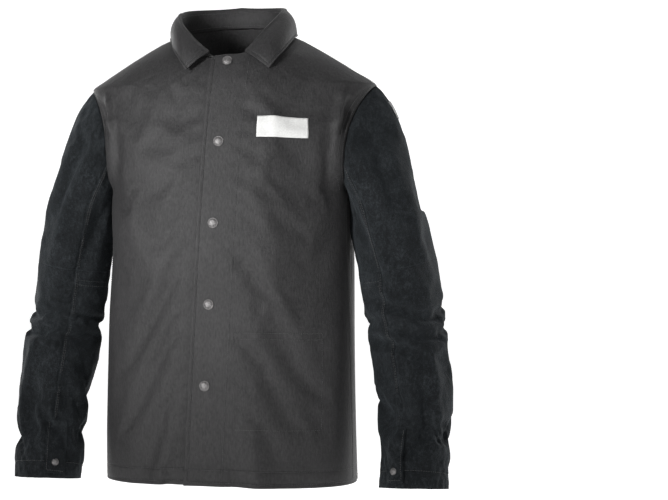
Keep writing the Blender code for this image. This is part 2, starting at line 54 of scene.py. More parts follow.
# Layers, metres (as the frame has them)
CLOTH, FACING, LEATHER, LAYER_GAP, LAP_ROOM = 0.0025, 0.0020, 0.0030, 0.0011, 0.0052
REST_GAP = 0.0009

# Body outline, metres (as the frame has it)
HEM_Z, ARMPIT_Z, THROAT_Z, NAPE_Z = -0.743, -0.270, -0.050, 0.020
TIP_X, TIP_Z, NECK_X, ARMPIT_X = 0.245, -0.090, 0.093, 0.198
ARMHOLE_BULGE, SHOULDER_POWER = 0.030, 1.12
HALF_WIDTH = ((HEM_Z, 0.212), (-0.50, 0.205), (ARMPIT_Z, ARMPIT_X))
FRONT_DEPTH = ((HEM_Z, 0.148), (-0.45, 0.147), (-0.27, 0.141), (-0.15, 0.124), (-0.05, 0.091), (0.0, 0.035))
BACK_DEPTH = ((HEM_Z, 0.132), (-0.45, 0.133), (-0.20, 0.132), (-0.09, 0.117), (0.0, 0.085), (NAPE_Z, 0.076))
SQUARENESS = ((HEM_Z, 2.5), (ARMPIT_Z, 2.5), (TIP_Z, 2.0))

# Front closing
SNAP_X_AT_CHEST, SNAP_CHEST_Z, SNAP_DRIFT = 0.006, -0.190, 0.049
OVERLAP, UNDERLAP = 0.027, 0.023
SNAP_TOP_Z, SNAP_PITCH, SNAP_COUNT = -0.060, 0.1305, 5
FACING_WIDTH = 0.065
FADE_FROM, FADE_OVER, NECK_FADE = 0.070, 0.080, 0.035

# Sleeves
CAP_END_Z, CUFF_Z = -0.300, -0.750
CENTRE_X = ((CAP_END_Z, 0.262), (-0.47, 0.295), (-0.60, 0.309), (CUFF_Z, 0.311))
CENTRE_Y = ((CAP_END_Z, 0.000), (-0.47, 0.005), (-0.60, -0.020), (CUFF_Z, -0.055))
HALF_ACROSS = ((CAP_END_Z, 0.060), (-0.47, 0.060), (-0.60, 0.058), (CUFF_Z, 0.056))
HALF_DEEP = ((CAP_END_Z, 0.083), (-0.47, 0.072), (-0.60, 0.061), (CUFF_Z, 0.048))
FRONT_SEAM, BACK_SEAM = 112.0, 245.0
SLEEVE_SPLIT_Z = -0.385
TAB_ANGLES, TAB_Z, TAB_ROOM = (101.0, 134.0), (-0.746, -0.660), 0.0048
CUFF_SNAP_ANGLE, CUFF_SNAP_Z = 116.0, -0.730
UNDER_SEAM_Z = -0.405
CUFF_STITCH = 0.022                              # height of the cuff's stitched row
POST_ROOM = 0.0016

# Collar
COLLAR_FRONT, STAND_IN = 167.0, 0.0080
COLLAR_SWING = 0.013                             # the leaf's points sit towards the wearer's left
FOLD_NAPE_Z, FOLD_SIDE_Z, FOLD_FRONT_Z = 0.057, 0.043, -0.036
LEAF_NAPE, LEAF_SIDE, LEAF_TIP = (0.0, 0.101, 0.012), (0.108, 0.004, -0.003), (0.069, -0.110, -0.069)


# ---------------------------------------------------------------- shape of the frame's surfaces

def smooth(value):
    value = min(1.0, max(0.0, value))
    return value * value * (3.0 - 2.0 * value)


def through(keys, at):
    """A smooth curve through (position, value) keys, flat beyond its ends."""
    keys = sorted(keys)
    if at <= keys[0][0]:
        return keys[0][1]
    if at >= keys[-1][0]:
        return keys[-1][1]
    slopes = []
    for index in range(len(keys)):
        low, high = keys[max(index - 1, 0)], keys[min(index + 1, len(keys) - 1)]
        slopes.append((high[1] - low[1]) / (high[0] - low[0]))
    for index in range(len(keys) - 1):
        (start, first), (end, last) = keys[index], keys[index + 1]
        if start <= at <= end:
            span = end - start
            t = (at - start) / span
            bend_in = t * (1 - t) ** 2 * span * slopes[index]
            bend_out = t * t * (t - 1) * span * slopes[index + 1]
            return first + (last - first) * smooth(t) + bend_in + bend_out
    return keys[-1][1]


def signed_power(value, power):
    return math.copysign(abs(value) ** power, value)


def shoulder_x(z):
    return NECK_X + (TIP_X - NECK_X) * max(0.0, z / TIP_Z) ** (1.0 / SHOULDER_POWER)


def armhole_x(z):
    return ARMPIT_X + (TIP_X - ARMPIT_X) * max(0.0, (z - ARMPIT_Z) / (TIP_Z - ARMPIT_Z)) ** 3


def half_width(z):
    if z <= ARMPIT_Z:
        return through(HALF_WIDTH, z)
    if z <= TIP_Z:
        share = (z - ARMPIT_Z) / (TIP_Z - ARMPIT_Z)
        return armhole_x(z) + ARMHOLE_BULGE * math.sin(math.pi * share) * smooth(share / 0.16)
    return shoulder_x(min(z, 0.0)) + 0.004 * smooth(z / NAPE_Z)


def half_depth(face, z):
    return through(FRONT_DEPTH if face < 0 else BACK_DEPTH, z)


def body_point(face, turn, z):
    """turn is 0 on the middle line and 1 at the side seam; face is -1 in front and 1 behind."""
    power = 2.0 / through(SQUARENESS, z)
    angle = turn * math.pi / 2
    x = half_width(z) * signed_power(math.sin(angle), power)
    y = face * half_depth(face, z) * signed_power(math.cos(angle), power)
    return Vector((x, y, z))


def body_normal(face, turn, z):
    step = 0.004
    across = body_point(face, turn + step, z) - body_point(face, turn - step, z)
    up = body_point(face, turn, z + step) - body_point(face, turn, z - step)
    normal = up.cross(across) if face > 0 else across.cross(up)
    return normal.normalized()


def turn_at(x, z):
    share = min(1.0, abs(x) / half_width(z))
    return math.copysign(math.asin(share ** (through(SQUARENESS, z) / 2)) * 2 / math.pi, x)


def last_turn(z):
    end = 1.0
    if ARMPIT_Z < z < TIP_Z:
        end = turn_at(armhole_x(z), z)
    if z > 0:
        end = min(end, turn_at(NECK_X * math.sqrt(max(0.0, 1 - (z / NAPE_Z) ** 2)), z))
    return end


def snap_x(z):
    return SNAP_X_AT_CHEST + (z - SNAP_CHEST_Z) * SNAP_DRIFT


def front_edge(side, z):
    return snap_x(z) - OVERLAP if side > 0 else -snap_x(z) - UNDERLAP


def lap_lift(side, x, z):
    """How far a front's inner face stands off the body surface: the left front lies over the right."""
    over, rest = LAP_ROOM + FACING + LAYER_GAP, -CLOTH
    if side < 0:
        return rest
    share = (1 - smooth((x - FADE_FROM) / FADE_OVER)) * (1 - smooth((z - THROAT_Z) / NECK_FADE))
    return rest + (over - rest) * share


def neck_start(side, z):
    share = math.sqrt(max(0.0, 1 - (z / THROAT_Z) ** 2))
    return side * snap_x(THROAT_Z) * (1 - share) + NECK_X * share


def armhole_point(angle):
    middle, reach = (TIP_Z + ARMPIT_Z) / 2, (TIP_Z - ARMPIT_Z) / 2
    z = middle + reach * math.cos(angle)
    x = armhole_x(z)
    face = -1 if math.sin(angle) >= 0 else 1
    point = body_point(face, turn_at(x, z), z)
    return Vector((x, point.y if abs(math.sin(angle)) > 0.001 else 0.0, z))


def sleeve_ring_point(angle, z, lift):
    step = 0.005
    centre = Vector((through(CENTRE_X, z), through(CENTRE_Y, z), z))
    above = Vector((through(CENTRE_X, z + step), through(CENTRE_Y, z + step), z + step))
    below = Vector((through(CENTRE_X, z - step), through(CENTRE_Y, z - step), z - step))
    along = (below - above).normalized()
    front = Vector((0.0, -1.0, 0.0))
    out = front.cross(along).normalized()
    if out.x < 0:
        out = -out
    front = (front - along * front.dot(along)).normalized()
    across, deep = through(HALF_ACROSS, z) + lift, through(HALF_DEEP, z) + lift
    return centre + out * across * math.cos(angle) + front * deep * math.sin(angle)


def cap_point(angle, share, lift):
    start = armhole_point(angle)
    end = sleeve_ring_point(angle, CAP_END_Z, 0.0)
    span = (end - start).length
    top = (1 + math.cos(angle)) / 2
    leave = Vector((0.12 + 0.50 * top, -0.25 * math.sin(angle), -1.0 + 0.18 * top)).normalized()
    arrive = (sleeve_ring_point(angle, CAP_END_Z - 0.01, 0.0) - end).normalized()
    t = share
    point = (start * (2 * t ** 3 - 3 * t ** 2 + 1) + leave * span * (t ** 3 - 2 * t ** 2 + t)
             + end * (3 * t ** 2 - 2 * t ** 3) + arrive * span * (t ** 3 - t ** 2))
    if lift:
        middle = Vector((0.222, 0.0, -0.18)).lerp(Vector((0.262, 0.0, CAP_END_Z)), share)
        point += (point - middle).normalized() * lift
    return point


def sleeve_point(angle, along, lift=0.0):
    """along is 0..1 over the cap, and a height below it."""
    if along < 0:
        return sleeve_ring_point(angle, along, lift)
    return cap_point(angle, along, lift)


def neckline(angle):
    share = abs(math.cos(angle))
    x = NECK_X * math.sin(abs(angle))
    if abs(angle) < math.pi / 2:
        z, face = NAPE_Z * share * 0.98, 1
    else:
        z, face = THROAT_Z * share, -1
        x = neck_start(math.copysign(1, angle), z)
    point = body_point(face, turn_at(x, z), z)
    return Vector((math.copysign(point.x, angle), point.y, z))


def collar_fold(angle):
    turn = math.degrees(abs(angle)) / COLLAR_FRONT
    base = neckline(angle)
    z = through(((0.0, FOLD_NAPE_Z), (0.5, FOLD_SIDE_Z), (0.8, 0.004), (1.0, FOLD_FRONT_Z)), turn)
    flare = 1.0 - 0.02 * math.sin(math.pi * turn)
    x, y = base.x * flare, base.y * flare - 0.006 * smooth(turn * 2 - 1)
    return Vector((x + math.copysign(0.010 * smooth(turn * 3 - 2), angle), y, z))


def leaf_edge(angle):
    turn = math.degrees(abs(angle))
    if turn <= 90.0:
        share = math.sin(math.radians(turn))
        x = LEAF_SIDE[0] * share
        y = LEAF_SIDE[1] + (LEAF_NAPE[1] - LEAF_SIDE[1]) * math.cos(math.radians(turn))
        z = LEAF_NAPE[2] + (LEAF_SIDE[2] - LEAF_NAPE[2]) * share * share
    else:
        share = (turn - 90.0) / (COLLAR_FRONT - 90.0)
        x = LEAF_SIDE[0] + (LEAF_TIP[0] - LEAF_SIDE[0]) * share ** 1.6
        y = LEAF_SIDE[1] + (LEAF_TIP[1] - LEAF_SIDE[1]) * math.sin(share * math.pi / 2)
        z = LEAF_SIDE[2] + (LEAF_TIP[2] - LEAF_SIDE[2]) * share ** 1.2
    return Vector((math.copysign(x, angle) + COLLAR_SWING * smooth((turn - 70.0) / 80.0), y, z))


def raised_clear(point, clearance):
    point = point.copy()
    face = -1 if point.y < 0 else 1
    while point.z < NAPE_Z:
        depth = body_point(face, turn_at(point.x, point.z), point.z).y
        if abs(point.x) >= half_width(point.z) + clearance or abs(point.y) >= abs(depth) + clearance:
            break
        point.z += 0.0005
    return point


def side_word(side):
    return "left" if side > 0 else "right"


def even(low, high, count):
    return [low + (high - low) * index / count for index in range(count + 1)]


# ---------------------------------------------------------------- materials

def new_material(name):
    made = bpy.data.materials.new(name)
    made.use_nodes = True
    tree = made.node_tree
    return made, tree, tree.nodes["Principled BSDF"]


def set_inputs(node, **values):
    """Input names have spaces where these words have underscores."""
    for key, value in values.items():
        node.inputs[key.replace("_", " ")].default_value = value


def grey_ramp(tree, factor, low, high):
    return ramp(tree, factor, ((0.3, (low,) * 3), (0.7, (high,) * 3)))


def add(tree, kind, **settings):
    node = tree.nodes.new(kind)
    for key, value in settings.items():
        if key in node.inputs:
            node.inputs[key].default_value = value
        else:
            setattr(node, key, value)
    return node


def stretched_place(tree, scale):
    """Object coordinates, scaled by axis."""
    place = add(tree, "ShaderNodeTexCoord")
    mapping = add(tree, "ShaderNodeMapping", Scale=scale)
    tree.links.new(place.outputs["Object"], mapping.inputs["Vector"])
    return mapping.outputs["Vector"]


def noise_node(tree, vector, scale, detail=2.0, rough=0.5):
    node = add(tree, "ShaderNodeTexNoise", Scale=scale, Detail=detail, Roughness=rough)
    tree.links.new(vector, node.inputs["Vector"])
    return node.outputs["Fac"]


def ramp(tree, factor, stops):
    node = add(tree, "ShaderNodeValToRGB")
    elements = node.color_ramp.elements
    while len(elements) < len(stops):
        elements.new(0.5)
    for element, (position, colour) in zip(elements, stops):
        element.position = position
        element.color = (*colour, 1.0)
    tree.links.new(factor, node.inputs["Fac"])
    return node.outputs["Color"]


def bump(tree, height, strength, distance, below=None):
    node = add(tree, "ShaderNodeBump", Strength=strength, Distance=distance)
    tree.links.new(height, node.inputs["Height"])
    if below is not None:
        tree.links.new(below, node.inputs["Normal"])
    return node.outputs["Normal"]


def math_node(tree, operation, first, second):
    node = add(tree, "ShaderNodeMath", operation=operation)
    for socket, value in zip(node.inputs, (first, second)):
        if isinstance(value, float):
            socket.default_value = value
        else:
            tree.links.new(value, socket)
    return node.outputs[0]


def mixed(tree, *parts):
    """Adds noises up, each with its own share."""
    total = None
    for value, share in parts:
        scaled = math_node(tree, "MULTIPLY", value, share)
        total = scaled if total is None else math_node(tree, "ADD", total, scaled)
    return total


def cotton_material(name, dark, light, sheen):
    """Dense woven cotton: fine vertical yarns, a faint cross weave and a soft satin sheen."""
    made, tree, shader = new_material(name)
    plain = stretched_place(tree, (1.0, 1.0, 1.0))
    yarns = noise_node(tree, stretched_place(tree, (1.0, 1.0, 0.10)), 620.0, 3.0, 0.7)
    weft = noise_node(tree, stretched_place(tree, (0.15, 0.15, 1.0)), 720.0, 2.0, 0.6)
    weave = mixed(tree, (yarns, 0.62), (weft, 0.38))
    wear = noise_node(tree, plain, 9.0, 5.0, 0.6)
    grain = noise_node(tree, stretched_place(tree, (1.0, 1.0, 0.45)), 330.0, 2.0, 0.6)
    tone = mixed(tree, (weave, 0.42), (wear, 0.20), (grain, 0.38))
    tree.links.new(ramp(tree, tone, ((0.40, dark), (0.60, light))), shader.inputs["Base Color"])
    tree.links.new(grey_ramp(tree, weave, 0.60, 0.76), shader.inputs["Roughness"])
    set_inputs(shader, Sheen_Weight=sheen, Sheen_Roughness=0.45, Specular_IOR_Level=0.42)
    slubs = bump(tree, grain, 0.40, 0.0014)
    tree.links.new(bump(tree, weave, 0.75, 0.0010, slubs), shader.inputs["Normal"])
    return made


def suede_material():
    """Split leather: blue-black, with a coarse brushed nap."""
    made, tree, shader = new_material("split_leather_suede")
    plain = stretched_place(tree, (1.0, 1.0, 1.0))
    nap = noise_node(tree, plain, 520.0, 4.0, 0.75)
    tufts = noise_node(tree, stretched_place(tree, (1.0, 1.0, 0.7)), 210.0, 4.0, 0.7)
    brushed = noise_node(tree, plain, 30.0, 5.0, 0.65)
    tone = mixed(tree, (nap, 0.35), (tufts, 0.40), (brushed, 0.25))
    colours = ((0.40, (0.0012, 0.0016, 0.0020)), (0.50, (0.0056, 0.0068, 0.0078)),
               (0.60, (0.0200, 0.0230, 0.0255)))
    tree.links.new(ramp(tree, tone, colours), shader.inputs["Base Color"])
    tree.links.new(grey_ramp(tree, tufts, 0.82, 0.98), shader.inputs["Roughness"])
    set_inputs(shader, Sheen_Weight=0.05, Sheen_Roughness=0.6, Sheen_Tint=(0.78, 0.90, 1.0, 1.0),
               Specular_IOR_Level=0.16)
    coarse = bump(tree, brushed, 0.45, 0.0060)
    middle = bump(tree, tufts, 0.80, 0.0026, coarse)
    tree.links.new(bump(tree, nap, 0.70, 0.0012, middle), shader.inputs["Normal"])
    return made


def pewter_material():
    made, tree, shader = new_material("snap_pewter_worn")
    plain = stretched_place(tree, (1.0, 1.0, 1.0))
    tarnish = noise_node(tree, plain, 420.0, 4.0, 0.6)
    tree.links.new(ramp(tree, tarnish, ((0.35, (0.10, 0.097, 0.097)), (0.7, (0.24, 0.232, 0.232)))),
                   shader.inputs["Base Color"])
    set_inputs(shader, Metallic=0.75)
    tree.links.new(grey_ramp(tree, tarnish, 0.50, 0.66), shader.inputs["Roughness"])
    tree.links.new(bump(tree, tarnish, 0.12, 0.0004), shader.inputs["Normal"])
    return made


def thread_material(name, dark, light):
    made, tree, shader = new_material(name)
    twist = noise_node(tree, stretched_place(tree, (1.0, 1.0, 1.0)), 1500.0, 2.0, 0.5)
    tree.links.new(ramp(tree, twist, ((0.3, dark), (0.7, light))), shader.inputs["Base Color"])
    set_inputs(shader, Roughness=0.6, Sheen_Weight=0.2)
    tree.links.new(bump(tree, twist, 0.3, 0.0003), shader.inputs["Normal"])
    return made


def woven_label_material(name, dark, light):
    made, tree, shader = new_material(name)
    warp = noise_node(tree, stretched_place(tree, (1.0, 1.0, 0.25)), 1400.0, 2.0, 0.5)
    fill = noise_node(tree, stretched_place(tree, (0.25, 0.25, 1.0)), 1400.0, 2.0, 0.5)
    weave = math_node(tree, "MULTIPLY", math_node(tree, "ADD", warp, fill), 0.5)
    tree.links.new(ramp(tree, weave, ((0.35, dark), (0.65, light))), shader.inputs["Base Color"])
    set_inputs(shader, Roughness=0.72, Sheen_Weight=0.15)
    tree.links.new(bump(tree, weave, 0.4, 0.0004), shader.inputs["Normal"])
    return made


COTTON = cotton_material("cotton_face", (0.0058, 0.0056, 0.0060), (0.0235, 0.0226, 0.0236), 0.03)
LINING = cotton_material("cotton_inner", (0.0085, 0.0082, 0.0087), (0.0195, 0.0187, 0.0195), 0.03)
SUEDE = suede_material()
PEWTER = pewter_material()
THREAD = thread_material("thread_black", (0.0085, 0.0085, 0.0090), (0.024, 0.024, 0.025))
WHITE_LABEL = woven_label_material("label_white", (0.48, 0.48, 0.47), (0.66, 0.66, 0.65))
RED_LABEL = woven_label_material("label_red", (0.36, 0.012, 0.020), (0.56, 0.030, 0.040))
GREY_LABEL = woven_label_material("label_grey", (0.20, 0.20, 0.20), (0.36, 0.36, 0.36))


# ---------------------------------------------------------------- meshes

def link(name, mesh, material):
    mesh.materials.append(material)
    mesh.shade_smooth()
    made = bpy.data.objects.new(name, mesh)
    bpy.context.scene.collection.objects.link(made)
    return made


def grid_faces(rows, columns, first=0, ring=False):
    """Faces between neighbours of a grid; ring joins each row's ends."""
    faces = []
    for row in range(rows - 1):
        low, high = first + row * columns, first + (row + 1) * columns
        for column in range(columns if ring else columns - 1):
            after = (column + 1) % columns
            faces.append((low + column, low + after, high + after, high + column))
    return faces


def grid_object(name, grid, material, ring=False):
    """A one-layer sheet through a grid of points."""
    mesh = bpy.data.meshes.new(name)
    points = [tuple(point) for row in grid for point in row]
    mesh.from_pydata(points, [], grid_faces(len(grid), len(grid[0]), ring=ring))
    mesh.validate()
    mesh.update()
    return link(name, mesh, material)


def apply_modifiers(piece):
    evaluated = piece.evaluated_get(bpy.context.evaluated_depsgraph_get())
    mesh = bpy.data.meshes.new_from_object(evaluated)
    piece.modifiers.clear()
    piece.data = mesh


def face_out(piece, away_from):
    """Turns the sheet's faces away from a point inside the garment."""
    mesh_data = bmesh.new()
    mesh_data.from_mesh(piece.data)
    bmesh.ops.remove_doubles(mesh_data, verts=mesh_data.verts, dist=0.00001)
    bmesh.ops.recalc_face_normals(mesh_data, faces=mesh_data.faces)
    score = 0.0
    for face in mesh_data.faces:
        middle = face.calc_center_median()
        score += (middle - away_from(middle)).dot(face.normal) * face.calc_area()
    if score < 0:
        bmesh.ops.reverse_faces(mesh_data, faces=mesh_data.faces)
    mesh_data.to_mesh(piece.data)
    mesh_data.free()


def thicken(piece, depth, levels=0, offset=-1.0):
    """Gives a sheet its thickness, inwards from its face, and applies it."""
    if levels:
        subdivide = piece.modifiers.new("finer", "SUBSURF")
        subdivide.levels = subdivide.render_levels = levels
        subdivide.boundary_smooth = "PRESERVE_CORNERS"
    solid = piece.modifiers.new("thickness", "SOLIDIFY")
    solid.thickness = depth
    solid.offset = offset
    solid.use_even_offset = False
    apply_modifiers(piece)
    piece.data.shade_smooth()


def axis_of_torso(point):
    return Vector((0.0, 0.0, point.z if point.z < -0.12 else -0.12))


# ---------------------------------------------------------------- drape

def groove(distance, width, depth):
    return -depth * math.exp(-(distance / width) ** 2)


def crease(x, z, start, end, width, height):
    """A soft ridge or valley along a line on the front or back, fading at both ends."""
    (x0, z0), (x1, z1) = start, end
    length = math.hypot(x1 - x0, z1 - z0)
    ux, uz = (x1 - x0) / length, (z1 - z0) / length
    along = ((x - x0) * ux + (z - z0) * uz) / length
    beside = (x - x0) * uz - (z - z0) * ux
    fade = smooth((along + 0.15) / 0.35) * smooth((1.15 - along) / 0.45)
    return height * fade * math.exp(-(beside / width) ** 2)


def soft_noise(point, scale, seed):
    return noise.noise(Vector((point[0] * scale[0] + seed, point[1] * scale[1], point[2] * scale[2])))


# Soft folds of the fronts: start and end (x, z) towards the wearer's left, width and height
FRONT_CREASES = (
    ((0.190, -0.150), (0.196, -0.330), 0.012, 0.0060),
    ((0.180, -0.160), (0.176, -0.300), 0.012, -0.0040),
    ((0.185, -0.285), (0.060, -0.420), 0.022, 0.0045),
    ((0.190, -0.330), (0.090, -0.520), 0.020, -0.0035),
    ((0.150, -0.420), (0.130, -0.740), 0.022, 0.0040),
    ((0.185, -0.440), (0.190, -0.742), 0.020, 0.0050),
    ((0.105, -0.480), (0.085, -0.742), 0.024, -0.0030),
    ((-0.190, -0.150), (-0.196, -0.330), 0.012, 0.0060),
    ((-0.180, -0.160), (-0.176, -0.300), 0.012, -0.0040),
    ((-0.185, -0.290), (-0.075, -0.430), 0.024, 0.0040),
    ((-0.185, -0.350), (-0.120, -0.600), 0.022, -0.0030),
    ((-0.150, -0.450), (-0.145, -0.742), 0.024, 0.0040),
    ((-0.190, -0.420), (-0.196, -0.742), 0.020, 0.0045),
)
BACK_CREASES = (
    ((0.190, -0.220), (0.120, -0.420), 0.024, 0.0060),
    ((0.185, -0.270), (0.070, -0.500), 0.026, -0.0045),
    ((0.180, -0.300), (0.165, -0.740), 0.022, 0.0060),
    ((0.120, -0.420), (0.095, -0.740), 0.028, 0.0045),
    ((-0.190, -0.220), (-0.120, -0.400), 0.024, 0.0060),
    ((-0.185, -0.270), (-0.080, -0.470), 0.026, -0.0045),
    ((-0.180, -0.300), (-0.160, -0.740), 0.022, 0.0060),
    ((-0.110, -0.440), (-0.100, -0.740), 0.028, 0.0040),
    ((0.010, -0.320), (0.000, -0.740), 0.034, -0.0035),
)


# Sharp folds of the cotton beside each armhole, in each front's own frame
ARMHOLE_CREASES = (
    ((0.199, -0.110), (0.187, -0.172), 0.0060, 0.0085),
    ((0.206, -0.122), (0.199, -0.176), 0.0065, -0.0075),
    ((0.190, -0.112), (0.174, -0.150), 0.0080, -0.0035),
)


def front_drape(x, z, point):
    """Folds laid in; nothing moves where the snaps hold the two fronts flat."""
    held = smooth((abs(x - snap_x(z)) - 0.040) / 0.050)
    total = sum(crease(x, z, *fold) for fold in FRONT_CREASES)
    total += 0.0035 * soft_noise(point, (9.0, 9.0, 2.6), 3.1) * smooth((-0.18 - z) / 0.3)
    return 0.75 * total * held * smooth((-0.060 - z) / 0.05)


def back_drape(x, z, point):
    total = 1.3 * sum(crease(x, z, *fold) for fold in BACK_CREASES)
    total += 0.0040 * soft_noise(point, (8.0, 8.0, 2.4), 21.7) * smooth((-0.12 - z) / 0.3)
    return total * smooth((-0.050 - z) / 0.06)


class Field:
    """Displacements on a regular grid, read smoothly between its points."""

    def __init__(self, u_range, v_range, columns, rows, closed=False):
        self.u_range, self.v_range, self.closed = u_range, v_range, closed
        self.grid = np.zeros((rows, columns, 3))

    def places(self):
        rows, columns = self.grid.shape[:2]
        (u0, u1), (v0, v1) = self.u_range, self.v_range
        wide = columns if self.closed else columns - 1
        return [[(u0 + (u1 - u0) * column / wide, v0 + (v1 - v0) * row / (rows - 1))
                 for column in range(columns)] for row in range(rows)]

    def at(self, u, v):
        rows, columns = self.grid.shape[:2]
        (u0, u1), (v0, v1) = self.u_range, self.v_range
        across = (u - u0) / (u1 - u0) * (columns if self.closed else columns - 1)
        down = min(max((v - v0) / (v1 - v0), 0.0), 1.0) * (rows - 1)
        if not self.closed:
            across = min(max(across, 0.0), columns - 1.0)
        column, row = math.floor(across), min(int(down), rows - 2)
        weights_u, weights_v = spline(across - column), spline(down - row)
        total = np.zeros(3)
        for j, weight_v in enumerate(weights_v):
            line = self.grid[min(max(row + j - 1, 0), rows - 1)]
            for i, weight_u in enumerate(weights_u):
                index = column + i - 1
                index = index % columns if self.closed else min(max(index, 0), columns - 1)
                total += line[index] * (weight_u * weight_v)
        return Vector(total)


def spline(t):
    """Catmull-Rom weights."""
    return (-0.5 * t + t * t - 0.5 * t ** 3, 1 - 2.5 * t * t + 1.5 * t ** 3,
            0.5 * t + 2 * t * t - 1.5 * t ** 3, -0.5 * t * t + 0.5 * t ** 3)


def front_span(side, z):
    """First and last turn of a front at a height."""
    first_x = neck_start(side, z) if z > THROAT_Z else front_edge(side, z)
    return turn_at(first_x, z), last_turn(z)


def front_base(side, share, z):
    """A front's outer face before draping, mirrored to its own side; share is 1 at the side of the body."""
    first = front_span(side, z)[0]
    turn = first + (1.0 - first) * share
    return body_point(-1, turn, z), body_normal(-1, turn, z)


def mirrored(side, point):
    return Vector((side * point.x, point.y, point.z))


FIELDS = {
    "left": Field((0.0, 1.0), (HEM_Z, -0.004), 28, 62),
    "right": Field((0.0, 1.0), (HEM_Z, -0.004), 28, 62),
    "back": Field((-1.0, 1.0), (HEM_Z, 0.016), 50, 64),
    "left_sleeve": Field((0.0, 360.0), (0.0, 3.6), 48, 52, closed=True),
    "right_sleeve": Field((0.0, 360.0), (0.0, 3.6), 48, 52, closed=True),
}


def travel(along):
    """Distance down a sleeve: 0..1 over the cap, then on to the cuff."""
    return along if along >= 0 else 1.0 + 2.6 * (CAP_END_Z - along) / (CAP_END_Z - CUFF_Z)


def station(distance):
    return distance if distance < 1.0 else CAP_END_Z - (CAP_END_Z - CUFF_Z) * (distance - 1.0) / 2.6


TORSO_HOLD, SLEEVE_HOLD = 0.20, 0.17             # how firmly cloth away from the seams keeps its place
FRAMES = 30


def hang(name, points, faces, pins, slack, stiffness, gravity):
    """Lets a sheet fall into folds: it is a little larger than its pattern and held by its pins."""
    mesh = bpy.data.meshes.new(name)
    mesh.from_pydata(points, [], faces)
    cloth_object = bpy.data.objects.new(name, mesh)
    bpy.context.scene.collection.objects.link(cloth_object)
    group = cloth_object.vertex_groups.new(name="pins")
    for index, weight in enumerate(pins):
        group.add([index], weight, "REPLACE")
    cloth = cloth_object.modifiers.new("cloth", "CLOTH")
    settings = cloth.settings
    settings.quality = 6
    settings.mass = 0.35
    settings.tension_stiffness = settings.compression_stiffness = 25.0
    settings.shear_stiffness = 12.0
    settings.bending_stiffness = stiffness
    settings.air_damping = 2.0
    settings.shrink_min = settings.shrink_max = -slack
    settings.effector_weights.gravity = gravity
    settings.vertex_group_mass = "pins"
    settings.pin_stiffness = 1.0
    cloth.collision_settings.use_collision = False
    cloth.collision_settings.use_self_collision = False
    cloth.point_cache.frame_start, cloth.point_cache.frame_end = 1, FRAMES
    for moment in range(1, FRAMES + 1):
        bpy.context.scene.frame_set(moment)
    evaluated = cloth_object.evaluated_get(bpy.context.evaluated_depsgraph_get()).to_mesh()
    found = [vertex.co.copy() for vertex in evaluated.vertices]
    bpy.data.objects.remove(cloth_object)
    bpy.context.scene.frame_set(1)
    return found


def joined(points, faces, pins):
    """Joins the vertices that meet at a seam; returns also each old vertex's new number."""
    kept, numbers, seen = [], [], {}
    for point, pin in zip(points, pins):
        key = tuple(round(value, 4) for value in point)
        if key not in seen:
            seen[key] = len(kept)
            kept.append((point, pin))
        numbers.append(seen[key])
    new_faces = []
    for face in faces:
        corners = list(dict.fromkeys(numbers[index] for index in face))
        if len(corners) > 2:
            new_faces.append(corners)
    return [point for point, _ in kept], new_faces, [pin for _, pin in kept], numbers


def drape_torso():
    """Hangs the two fronts and the back together."""
    points, faces, pins, undraped, places = [], [], [], [], []
    for word in ("right", "back", "left"):
        field = FIELDS[word]
        rows, columns = field.grid.shape[:2]
        faces += grid_faces(rows, columns, len(points))
        for row, line in enumerate(field.places()):
            for column, (share, z) in enumerate(line):
                if word == "back":
                    base, normal = body_point(1, share, z), body_normal(1, share, z)
                    start = base
                    fold = back_drape(base.x, z, base)
                    closing = 1.0
                else:
                    side = 1 if word == "left" else -1
                    base, normal = front_base(side, share, z)
                    start = base + normal * (lap_lift(side, base.x, z) + CLOTH)
                    fold = front_drape(side * base.x, z, base)
                    closing = abs(side * base.x - snap_x(z))
                    start, normal = mirrored(side, start), mirrored(side, normal)
                armhole = smooth((abs(start.x) - armhole_x(z) + 0.020) / 0.016) if z > ARMPIT_Z else 0.0
                pin = max(TORSO_HOLD, 1 - smooth((closing - 0.022) / 0.035), smooth((z + 0.130) / 0.070),
                          armhole * smooth((z - ARMPIT_Z + 0.004) / 0.012))
                points.append(start + normal * fold)
                pins.append(pin)
                undraped.append(start)
                places.append((word, row, column))
    few, few_faces, few_pins, numbers = joined(points, faces, pins)
    hung = hang("torso_drape", few, few_faces, few_pins, 0.009, 1.6, 0.30)
    for (word, row, column), start, number in zip(places, undraped, numbers):
        FIELDS[word].grid[row, column] = hung[number] - start


def drape_sleeve(side):
    field = FIELDS[side_word(side) + "_sleeve"]
    rows, columns = field.grid.shape[:2]
    points, pins, undraped = [], [], []
    for line in field.places():
        for degrees, distance in line:
            angle, along = math.radians(degrees), station(distance)
            start = sleeve_point(angle, along)
            height = start.z
            begin = smooth((along - 0.02) / 0.30) if along >= 0 else 1.0
            point = sleeve_point(angle, along, sleeve_drape(side, angle, height, start) * begin)
            pin = max(SLEEVE_HOLD, 1 - smooth((distance - 0.03) / 0.25), 0.6 * smooth((distance - 3.2) / 0.3))
            points.append(mirrored(side, point))
            undraped.append(mirrored(side, start))
            pins.append(pin)
    hung = points
    hung = hang("sleeve_drape", points, grid_faces(rows, columns, ring=True), pins, 0.034, 1.6, 0.16)
    for index, (point, start) in enumerate(zip(hung, undraped)):
        field.grid[index // columns, index % columns] = point - start


def front_share(side, x, z):
    first = front_span(side, z)[0]
    return (turn_at(x, z) - first) / (1.0 - first) if first < 0.999 else 1.0


def on_front(side, x, z, lift):
    """A point off the draped front: x is in the front's own mirrored frame."""
    turn = turn_at(x, z)
    base = body_point(-1, turn, z)
    point = base + body_normal(-1, turn, z) * (lap_lift(side, base.x, z) + CLOTH + lift)
    return mirrored(side, point) + FIELDS[side_word(side)].at(front_share(side, base.x, z), z)


